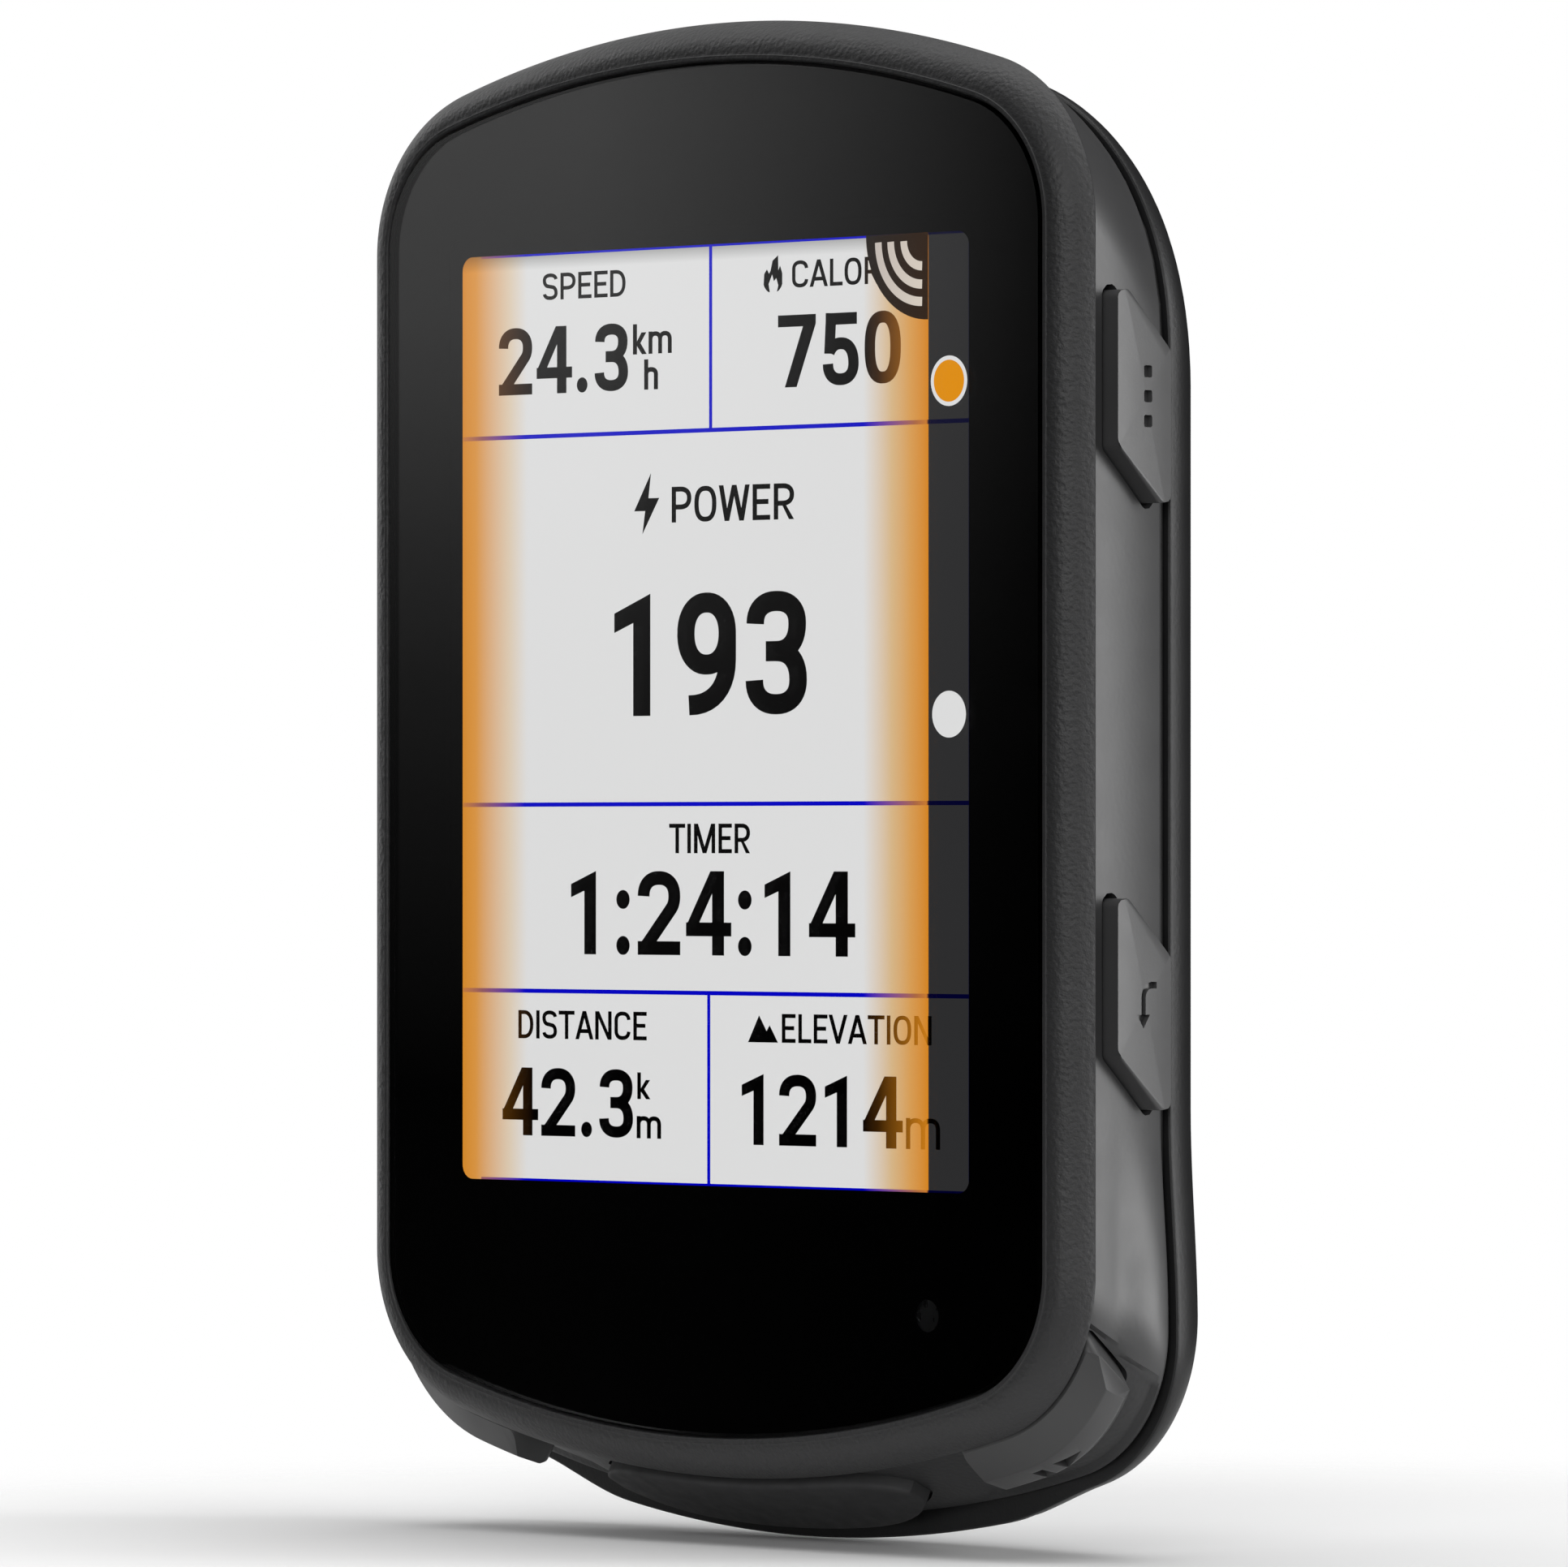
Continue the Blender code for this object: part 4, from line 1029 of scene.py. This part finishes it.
# Width of each character, and the room on its left and right, as shares of its height.
WIDTHS = {
    "0": (0.66, 0.06, 0.06), "1": (0.416, 0.12, 0.25), "2": (0.70, 0.045, 0.045), "3": (0.69, 0.05, 0.05),
    "4": (0.74, 0.05, 0.02), "5": (0.66, 0.07, 0.05), "7": (0.70, 0.03, 0.06), "9": (0.67, 0.06, 0.06),
    ".": (0.22, 0.08, 0.10), ":": (0.22, 0.09, 0.09), "A": (0.92, 0.02, 0.02), "C": (0.82, 0.07, 0.06),
    "D": (0.78, 0.08, 0.07), "E": (0.68, 0.09, 0.05), "I": (0.16, 0.09, 0.09), "L": (0.64, 0.09, 0.03),
    "M": (1.08, 0.08, 0.08), "N": (0.84, 0.08, 0.08), "O": (0.86, 0.07, 0.07), "P": (0.77, 0.09, 0.05),
    "R": (0.78, 0.09, 0.04), "S": (0.76, 0.06, 0.06), "T": (0.82, 0.03, 0.03), "V": (0.92, 0.01, 0.01),
    "W": (1.19, 0.03, 0.03), "h": (0.6, 0.05, 0.05), "k": (0.6, 0.05, 0.0), "m": (1.0, 0.05, 0.05),
}
WIDENED = 1.22
ROW_LINES = (15.9, -4.95, -15.5)
LINE_WIDTH = 0.24


def bow(x, y, half_width, half_height, start, end, squareness=2.3):
    """Points along a squarish ellipse, by angle in degrees."""
    points = []
    count = max(4, int(abs(end - start) / 9))
    for i in range(count + 1):
        turn = math.radians(start + (end - start) * i / count)
        across = math.copysign(abs(math.cos(turn)) ** (2 / squareness), math.cos(turn))
        up = math.copysign(abs(math.sin(turn)) ** (2 / squareness), math.sin(turn))
        points.append((x + half_width * across, y + half_height * up))
    return points


def glyph(letter, w, h, t):
    """Polygons of one condensed sans-serif character, w wide and h high, drawn with strokes t thick."""
    half = t / 2
    left, right, middle, low, high = half, w - half, w / 2, half, h - half
    reach = middle - half

    def ink(*paths):
        return [stroke(path, t) for path in paths]

    def stem(x):
        return [(x, 0), (x, h)]

    def beam(y, start=0.0, end=w):
        return [(start, y), (end, y)]

    def curve(y, rise, start, end, squareness=2.3):
        return bow(middle, y, reach, rise, start, end, squareness)

    def loop(y, rise, squareness=2.5):
        return ink(curve(y, rise, 90, 275, squareness), curve(y, rise, -90, 95, squareness))

    def bowl(bottom, top, start=0.45):
        bend = bow(start * w, (bottom + top) / 2, right - start * w, (top - bottom) / 2, 90, -90)
        return [(left, top)] + bend + [(left, bottom)]

    def leg(foot, head):
        grow = 1.06 * half
        return [(foot - grow, 0), (foot + grow, 0), (head + grow, h), (head - grow, h)]

    def box(x0, x1, y0, y1):
        return [(x0, y0), (x1, y0), (x1, y1), (x0, y1)]

    def dot(y):
        return [(x, y + (up - y) * WIDENED) for x, up in circle(w / 2, y, w / 2, 28)]

    if letter in "0O":
        return loop(h / 2, h / 2 - half)
    if letter == "1":
        return [[(w, h), (0, 0.843 * h), (0, 0.684 * h), (w - t, 0.763 * h), (w - t, 0), (w, 0)]]
    if letter == "2":
        hook = curve(0.7 * h, 0.3 * h - half, 180, -38) + [(0.75 * t, 0.7 * t)]
        return ink(hook, beam(low)) + [box(0, t, 0, 0.9 * t)]
    if letter == "3":
        waist = 0.512 * h
        joint = [(0.33 * w, waist)]
        upper = bow(middle, 0.735 * h, 0.96 * reach, 0.265 * h - half, 180, 0)
        upper += bow(middle, 0.735 * h, 0.96 * reach, 0.735 * h - waist, 0, -90)[1:] + joint
        lower = joint + curve(0.278 * h, waist - 0.278 * h, 90, 0)
        return ink(upper, lower + curve(0.278 * h, 0.278 * h - half, 0, -180)[1:])
    if letter == "4":
        slope = [(0.54 * w, h), (0.6 * w, h), (0.58 * w, 0.737 * h), (0.27 * w, 0.36 * h)]
        slope += [(0, 0.3 * h), (0, 0.345 * h)]
        return [box(0.84 * w - t, 0.84 * w, 0, h), box(0, w, 0.227 * h, 0.227 * h + t), slope]
    if letter == "5":
        belly = curve(0.3 * h, 0.36 * h - half, 150, 0) + curve(0.3 * h, 0.3 * h - half, 0, -180)[1:]
        back = [(0.09 * w + half, h), (0.04 * w + half, 0.44 * h)]
        return ink(belly, beam(high, 0.08 * w, 0.95 * w), back)
    if letter == "7":
        slope = [(w, h), (w, h - 0.8 * t), (0.18 * w + 1.15 * t, 0), (0.18 * w, 0)]
        return [slope + [(w - 1.25 * t, h - t), (0, h - t), (0, h)]]
    if letter == "9":
        tail = bow(0.2 * w, 0.46 * h, right - 0.2 * w, 0.46 * h - half, 0, -90)[1:]
        return loop(0.665 * h, 0.335 * h - half, 2.2) + ink([(right, 0.66 * h), (right, 0.46 * h)] + tail)
    if letter == ".":
        return [dot(0.11 * h)]
    if letter == ":":
        return [dot(0.11 * h), dot(0.66 * h)]
    if letter == "A":
        return [leg(half, middle), leg(w - half, middle), box(0.22 * w, 0.78 * w, 0.22 * h, 0.22 * h + t)]
    if letter == "C":
        return ink(curve(0.68 * h, 0.32 * h - half, 4, 180) + curve(0.32 * h, 0.32 * h - half, 180, 356))
    if letter == "D":
        return ink(stem(left), bowl(low, high, 0.38))
    if letter == "E":
        return ink(stem(left), beam(high), beam(0.51 * h, 0.0, 0.9 * w), beam(low))
    if letter == "I":
        return ink(stem(middle))
    if letter == "L":
        return ink(stem(left), beam(low))
    if letter == "M":
        return ink(stem(left), stem(right)) + [leg(middle, left + 0.1 * t), leg(middle, right - 0.1 * t)]
    if letter == "N":
        return ink(stem(left), stem(right)) + [leg(right - 0.1 * t, left + 0.1 * t)]
    if letter == "P":
        return ink(stem(left), bowl(0.43 * h, high))
    if letter == "R":
        foot = [(0.5 * w, 0.5 * h), (w, 0), (w - 1.15 * t, 0), (0.36 * w, 0.46 * h)]
        return ink(stem(left), bowl(0.45 * h, high)) + [foot]
    if letter == "S":
        snake = curve(0.74 * h, 0.26 * h - half, 8, 180) + curve(0.74 * h, 0.24 * h, 180, 240)[1:]
        return ink(snake + curve(0.26 * h, 0.24 * h, 60, 0) + curve(0.26 * h, 0.26 * h - half, 0, -172)[1:])
    if letter == "T":
        return ink(stem(middle), beam(high))
    if letter == "V":
        return [leg(middle, half), leg(middle, w - half)]
    if letter == "W":
        return [leg(0.26 * w, half), leg(0.26 * w, middle), leg(0.74 * w, middle), leg(0.74 * w, w - half)]
    if letter == "h":
        return ink(stem(left), curve(0.5 * h, 0.24 * h - half, 180, 0) + [(right, 0)])
    if letter == "k":
        arm = [(w - 0.1 * t, 0.72 * h), (w - 1.3 * t, 0.72 * h), (left, 0.3 * h), (left + 0.9 * t, 0.26 * h)]
        foot = [(left + 0.9 * t, 0.48 * h), (w, 0), (w - 1.2 * t, 0), (left + 0.4 * t, 0.3 * h)]
        return ink(stem(left)) + [arm, foot]
    if letter == "m":
        arches = []
        for a, b in ((left, middle), (middle, right)):
            arches.append(bow((a + b) / 2, 0.62 * h, (b - a) / 2, 0.38 * h - half, 180, 0) + [(b, 0)])
        return ink(stem(left), *arches)
    raise ValueError(letter)


def lettering(text, left, right, bottom, top, weight):
    """Polygons of a line of text that fills the given box."""
    height = top - bottom
    bearings = [WIDTHS[letter] for letter in text]
    total = sum(sum(bearing) for bearing in bearings) - bearings[0][1] - bearings[-1][2]
    fit = (right - left) / (total * height)
    pen = left - bearings[0][1] * height * fit
    polygons = []
    for letter, (width, before, after) in zip(text, bearings):
        pen += before * height * fit
        wide = width * height * fit / WIDENED
        for polygon in glyph(letter, wide, height, weight * height):
            polygons.append([(pen + x * WIDENED, bottom + y) for x, y in polygon])
        pen += (width + after) * height * fit
    return polygons


def turned_left(polygon):
    area = sum(a[0] * b[1] - b[0] * a[1] for a, b in zip(polygon, polygon[1:] + polygon[:1]))
    return polygon if area > 0 else polygon[::-1]


def printed(name, polygons, depth, material):
    """Flat marks: the union of the polygons as a thin closed mesh that faces forwards."""
    points, loops = [], []
    for polygon in polygons:
        loops.append(list(range(len(points), len(points) + len(polygon))))
        points += [Vector(point) for point in turned_left(polygon)]
    flat, _, triangles, _, _, sources = delaunay_2d_cdt(points, [], loops, 0, 1e-5)
    inked = [triangle for triangle, source in zip(triangles, sources) if source]
    shape = bmesh.new()
    vertices = [shape.verts.new(place(x, depth, y)) for x, y in flat]
    for triangle in inked:
        shape.faces.new([vertices[i] for i in triangle])
    bmesh.ops.delete(shape, geom=[v for v in shape.verts if not v.link_faces], context="VERTS")
    raised = bmesh.ops.extrude_face_region(shape, geom=shape.faces[:], use_keep_orig=True)
    moved = [part for part in raised["geom"] if isinstance(part, bmesh.types.BMVert)]
    bmesh.ops.translate(shape, verts=moved, vec=(0.0, PRINT_THICKNESS / 1000, 0.0))
    bmesh.ops.recalc_face_normals(shape, faces=shape.faces[:])
    mesh = bpy.data.meshes.new(name)
    shape.to_mesh(mesh)
    shape.free()
    mesh.materials.append(material)
    return finished(linked(name, mesh))


BOLT = ((0.17, 0.5), (-0.5, -0.12), (-0.06, -0.12), (-0.17, -0.5), (0.5, 0.09), (0.07, 0.09))
MOUNTAIN = ((-0.5, -0.5), (-0.13, 0.5), (0.12, -0.08), (0.22, 0.14), (0.5, -0.5))


def icon(shape, x, y, width, height):
    """Outline drawn in a unit box, set to its place and size."""
    return [(x + a * width, y + b * height) for a, b in shape]


def flame():
    """Curling flame with a smaller one left open inside its foot."""
    around = bow(0.0, -0.14, 0.5, 0.36, 200, 340, 2.0)
    around += [(0.47, 0.02), (0.36, 0.22), (0.27, 0.1), (0.26, 0.5), (-0.02, 0.36), (-0.12, 0.1)]
    around += [(-0.2, 0.02), (-0.3, 0.14), (-0.44, 0.02)]
    notch = [(-0.16, -0.46), (-0.22, -0.25), (-0.04, 0.0), (0.05, -0.18)]
    notch += [(0.17, -0.1), (0.27, -0.3), (0.2, -0.46)]
    foot = [point for point in around[:12] if point[0] < -0.17]
    return foot + notch + [point for point in around[:12] if point[0] > 0.21] + around[12:]


def page_materials():
    plain = tone(222)
    page = lit("page_light", [
        (-SCREEN_HALF_WIDTH, tone(214, 138, 48)), (-19.0, tone(217, 148, 70)), (-16.2, tone(221, 203, 180)),
        (-14.8, plain), (11.9, plain), (14.1, tone(216, 182, 136)), (15.5, tone(217, 158, 88)),
        (STRIP_START, tone(215, 133, 37)),
    ], painted_top_shadow=True)
    black = tone(5, 4, 4)
    text = lit("lettering_dark", [
        (-18.0, tone(92, 57, 12)), (-15.4, tone(46, 29, 10)), (-14.2, black), (11.9, black),
        (13.1, tone(60, 37, 12)), (15.1, tone(138, 86, 24)), (STRIP_START - 0.01, tone(205, 126, 32)),
        (STRIP_START + 0.01, black),
    ])
    blue = tone(0, 5, 190)
    night = tone(2, 3, 46)
    line = lit("line_blue", [
        (-SCREEN_HALF_WIDTH, tone(196, 124, 62)), (-18.5, tone(146, 91, 96)), (-15.0, blue), (12.0, blue),
        (15.9, tone(170, 104, 70)), (STRIP_START - 0.01, tone(205, 125, 48)), (STRIP_START + 0.01, night),
    ])
    return page, text, line


def screen():
    page, text, line = page_materials()
    strip = lit("strip_dark", [(0.0, tone(49)), (20.0, tone(49, 49, 50))])
    white = lit("mark_white", [(13.0, tone(196, 186, 178)), (STRIP_START, tone(217, 206, 192)),
                               (STRIP_START + 0.1, tone(222))])
    amber = lit("mark_amber", [(0.0, tone(221, 139, 14)), (20.0, tone(223, 141, 15))])
    badge = lit("badge_dark", [(12.0, tone(36, 30, 26)), (STRIP_START, tone(48, 31, 14))])

    wide, tall = SCREEN_HALF_WIDTH + 0.6, SCREEN_HALF_HEIGHT + 0.6
    printed("screen_page", [rectangle(-wide, STRIP_START, -tall, tall)], PAGE_DEPTH, page)
    printed("screen_strip", [rectangle(STRIP_START + 0.002, wide, -tall, tall)], PAGE_DEPTH, strip)

    letters = [polygon for reading in READINGS for polygon in lettering(*reading)]
    letters.append(icon(BOLT, -5.1, 11.9, 2.0, 3.4))
    letters.append(icon(MOUNTAIN, 4.12, -17.45, 2.35, 1.5))
    letters.append(icon(flame(), 4.9, 24.4, 1.55, 2.1))
    printed("screen_lettering", letters, GRAPHICS_DEPTH, text)

    half = LINE_WIDTH / 2
    side, top = SCREEN_HALF_WIDTH, SCREEN_HALF_HEIGHT
    lines = [rectangle(-side, side, y - half, y + half) for y in ROW_LINES]
    lines.append(rectangle(-half, half, ROW_LINES[0], top))
    lines.append(rectangle(-0.15 - half, -0.15 + half, -top, ROW_LINES[2]))
    lines += [rectangle(-side + 1.5, side, y - half, y + half) for y in (-top, top)]
    lines.append(rectangle(side - 0.08, side, -top, top))
    printed("screen_lines", lines, GRAPHICS_DEPTH - 0.006, line)

    badge_shape = [(STRIP_START, top)] + arc(STRIP_START, top, 4.75, 180, 270, 24)
    printed("signal_badge", [badge_shape], GRAPHICS_DEPTH - 0.018, badge)
    waves = [arc(STRIP_START - 0.45, top - 0.4, radius, 180, 270, 20) for radius in (1.4, 2.4, 3.35)]
    marks = [stroke(wave, 0.5) for wave in waves]
    marks += [circle(18.5, 18.1, 1.38), circle(18.5, -0.1, 1.28)]
    printed("screen_marks", marks, GRAPHICS_DEPTH - 0.026, white)
    printed("warning_dot", [circle(18.5, 18.1, 1.15)], GRAPHICS_DEPTH - 0.034, amber)


# ---------------------------------------------------------------- CAD nodes that stay

def board_mask():
    nodes = Nodes("board_mask")
    stops = [(0.35, (0.006, 0.05, 0.025)), (0.65, (0.012, 0.085, 0.04))]
    nodes.feed("Base Color", nodes.ramp(nodes.noise(700.0, 2.0), stops))
    nodes.glossed(500.0, 0.425, 0.075)
    nodes.bump(nodes.cells(1500.0), 0.2, 0.05)
    return nodes.material


def speckled(name, dark, light, roughness, scale=800.0, metallic=0.0):
    nodes = Nodes(name)
    nodes.mottled(scale, dark, light, 5.0)
    nodes.glossed(scale * 1.7, roughness, 0.06)
    nodes.hold("Metallic", metallic)
    nodes.bump(nodes.noise(scale * 4, 2.0), 0.12, 0.02)
    return nodes.material


def inner_materials():
    """Material of each CAD node that is shown as it is, by the start or end of its name."""
    ceramic = speckled("ceramic_fired", (0.42, 0.38, 0.31), (0.55, 0.5, 0.42), 0.5)
    chassis = grained_plastic("chassis_moulded", (0.09, 0.09, 0.095), 0.55, 0.2, 0.3)
    panel = speckled("panel_backing", (0.5, 0.5, 0.5), (0.65, 0.65, 0.64), 0.35)
    foil = speckled("cell_foil", (0.42, 0.43, 0.45), (0.6, 0.61, 0.63), 0.35, 300.0, 0.8)
    film = speckled("flex_film", (0.22, 0.09, 0.012), (0.34, 0.15, 0.02), 0.35)
    felt = speckled("membrane_felt", (0.7, 0.7, 0.7), (0.85, 0.85, 0.85), 0.9, 2500.0)
    connector = speckled("connector_moulded", (0.6, 0.57, 0.48), (0.7, 0.67, 0.58), 0.5)
    smoked = speckled("sensor_smoked", (0.012, 0.012, 0.013), (0.02, 0.02, 0.021), 0.3)
    return {
        "glass_gasket": BLACK_RUBBER,
        "housing_seal": BLACK_RUBBER,
        "_seal": BLACK_RUBBER,
        "_plunger": MOULDED,
        "_switch": TINNED,
        "light_sensor": smoked,
        "lcd_": panel,
        "mid_frame": chassis,
        "main_board": board_mask(),
        "rf_shield": TINNED,
        "gnss_antenna": ceramic,
        "buzzer": MOULDED,
        "barometer": TINNED,
        "vent_membrane": felt,
        "battery_connector": connector,
        "battery_cell": foil,
        "display_flex": film,
        "usb_receptacle": TINNED,
    }


def dress_cad_nodes():
    table = inner_materials()
    for name, node in frame["nodes"].items():
        if node.hide_render:
            continue
        key = next(part for part in table if name.startswith(part) or name.endswith(part))
        node.data.materials.clear()
        node.data.materials.append(table[key])


# ---------------------------------------------------------------- light, floor and camera

VIEW_TURN = math.radians(44.89)
FOCAL_LENGTH = 255.06
PRINCIPAL_SHIFT = 0.0414
CAMERA_PLACE = (440.04, -435.44, -7.43)
FLOOR_GAP = 0.15
FLOOR_REACH = 0.09
# Reflection card, in metres: heights where its glow starts and ends, and the fade towards the right.
CARD_HEIGHTS = (-0.0326, 0.0863)
CARD_FADE = (-0.505, -0.432)
CARD_STRENGTH = 0.73
CARD_GRADIENT = (
    (0.0, 0.008), (0.17, 0.045), (0.29, 0.08), (0.415, 0.14),
    (0.54, 0.25), (0.66, 0.41), (0.79, 0.6), (0.97, 0.72),
)


def area_light(name, azimuth, elevation, distance, size, radiance):
    """Soft box at a direction from the object, by its brightness rather than its power."""
    azimuth, elevation = math.radians(azimuth), math.radians(elevation)
    level = math.cos(elevation)
    direction = Vector((level * math.cos(azimuth), level * math.sin(azimuth), math.sin(elevation)))
    light = bpy.data.lights.new(name, "AREA")
    light.shape = "RECTANGLE"
    light.size, light.size_y = size
    light.energy = radiance * math.pi * size[0] * size[1]
    obj = linked(name, light)
    obj.location = direction * distance
    obj.rotation_euler = direction.to_track_quat("Z", "Y").to_euler()
    obj.visible_transmission = False


def lights():
    """Azimuth 0 is the object's right-hand side and 90 is behind it."""
    area_light("right_strip", 38.0, 6.0, 0.9, (0.25, 0.7), 9.6)
    area_light("right_low", -5.0, 8.0, 0.9, (0.25, 0.7), 2.0)
    area_light("front_right", -55.0, 15.0, 1.0, (0.5, 0.6), 4.0)
    area_light("top_right", 20.0, 56.0, 0.9, (0.5, 0.5), 2.6)
    area_light("top_soft", 150.0, 82.0, 0.8, (0.8, 0.8), 1.85)
    area_light("top_left", 195.0, 40.0, 0.9, (0.4, 0.4), 1.8)
    area_light("left_low", 180.0, 8.0, 0.9, (0.25, 0.7), 3.0)
    area_light("back_fill", 155.0, 25.0, 1.0, (0.5, 0.5), 0.8)


def world():
    """White to the camera, and next to black for everything else."""
    scene_world = bpy.data.worlds.new("studio")
    bpy.context.scene.world = scene_world
    scene_world.use_nodes = True
    tree = scene_world.node_tree
    background = tree.nodes["Background"]
    background.inputs["Color"].default_value = (0.008, 0.008, 0.008, 1.0)
    white = tree.nodes.new("ShaderNodeBackground")
    white.inputs["Color"].default_value = (1.0, 1.0, 1.0, 1.0)
    seen = tree.nodes.new("ShaderNodeLightPath")
    mix = tree.nodes.new("ShaderNodeMixShader")
    tree.links.new(seen.outputs["Is Camera Ray"], mix.inputs[0])
    tree.links.new(background.outputs[0], mix.inputs[1])
    tree.links.new(white.outputs[0], mix.inputs[2])
    tree.links.new(mix.outputs[0], tree.nodes["World Output"].inputs["Surface"])


def flat_sheet(name, corners, material):
    mesh = bpy.data.meshes.new(name)
    mesh.from_pydata(corners, [], [(0, 1, 2, 3)])
    mesh.materials.append(material)
    obj = linked(name, mesh)
    obj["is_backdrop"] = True
    return obj


def floor():
    """Pale sheet just under the object that dissolves into the white of the surroundings."""
    nodes = Nodes("floor_pale")
    nodes.mottled(3.0, (0.93, 0.93, 0.93), (0.95, 0.95, 0.95), 3.0)
    nodes.hold("Roughness", 0.8)
    nodes.hold("Specular IOR Level", 0.0)
    length = nodes.tree.nodes.new("ShaderNodeVectorMath")
    length.operation = "LENGTH"
    nodes.link(nodes.place, length.inputs[0])
    fade = nodes.spread(length.outputs["Value"], 0.3 * FLOOR_REACH, FLOOR_REACH, 1.0, 0.0, "SMOOTHSTEP")
    nodes.feed("Alpha", fade)
    size = 1.05 * FLOOR_REACH
    corners = [Vector((x * size, y * size, 0.0)) for x, y in ((-1, -1), (1, -1), (1, 1), (-1, 1))]
    sheet = flat_sheet("floor", corners, nodes.material)
    sheet.location.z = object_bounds()[0][2] - FLOOR_GAP / 1000


def reflection_card():
    """Sheet with a soft gradient that shows in the glass; the camera itself doesn't see it."""
    nodes = Nodes("card_gradient")
    up = nodes.spread(nodes.axis("Z"), *CARD_HEIGHTS, 0.0, 1.0)
    glow = nodes.ramp(up, [(share, (glow, glow, glow)) for share, glow in CARD_GRADIENT])
    across = nodes.spread(nodes.axis("X"), *CARD_FADE, 1.0, 0.12)
    glowing(nodes, nodes.scaled(glow, across), CARD_STRENGTH)
    corners = [Vector((x, -0.5, z)) for x, z in ((-0.9, -0.2), (-0.36, -0.2), (-0.36, 0.35), (-0.9, 0.35))]
    card = flat_sheet("gradient_card", corners, nodes.material)
    card.visible_camera = False
    card.visible_diffuse = False
    card.visible_shadow = False


def camera():
    data = bpy.data.cameras.new("camera")
    data.sensor_width = 36.0
    data.lens = FOCAL_LENGTH
    data.shift_y = PRINCIPAL_SHIFT
    data.clip_start = 0.01
    obj = linked("camera", data)
    obj.location = place(*CAMERA_PLACE)
    obj.rotation_euler = (math.radians(90), 0.0, VIEW_TURN)
    bpy.context.scene.camera = obj


bpy.context.scene.view_settings.view_transform = "Standard"
front_bezel()
side_housing()
rear_cover()
cover_glass()
buttons()
usb_cap()
mount_insert()
screws()
screen()
dress_cad_nodes()
floor()
reflection_card()
lights()
world()
camera()
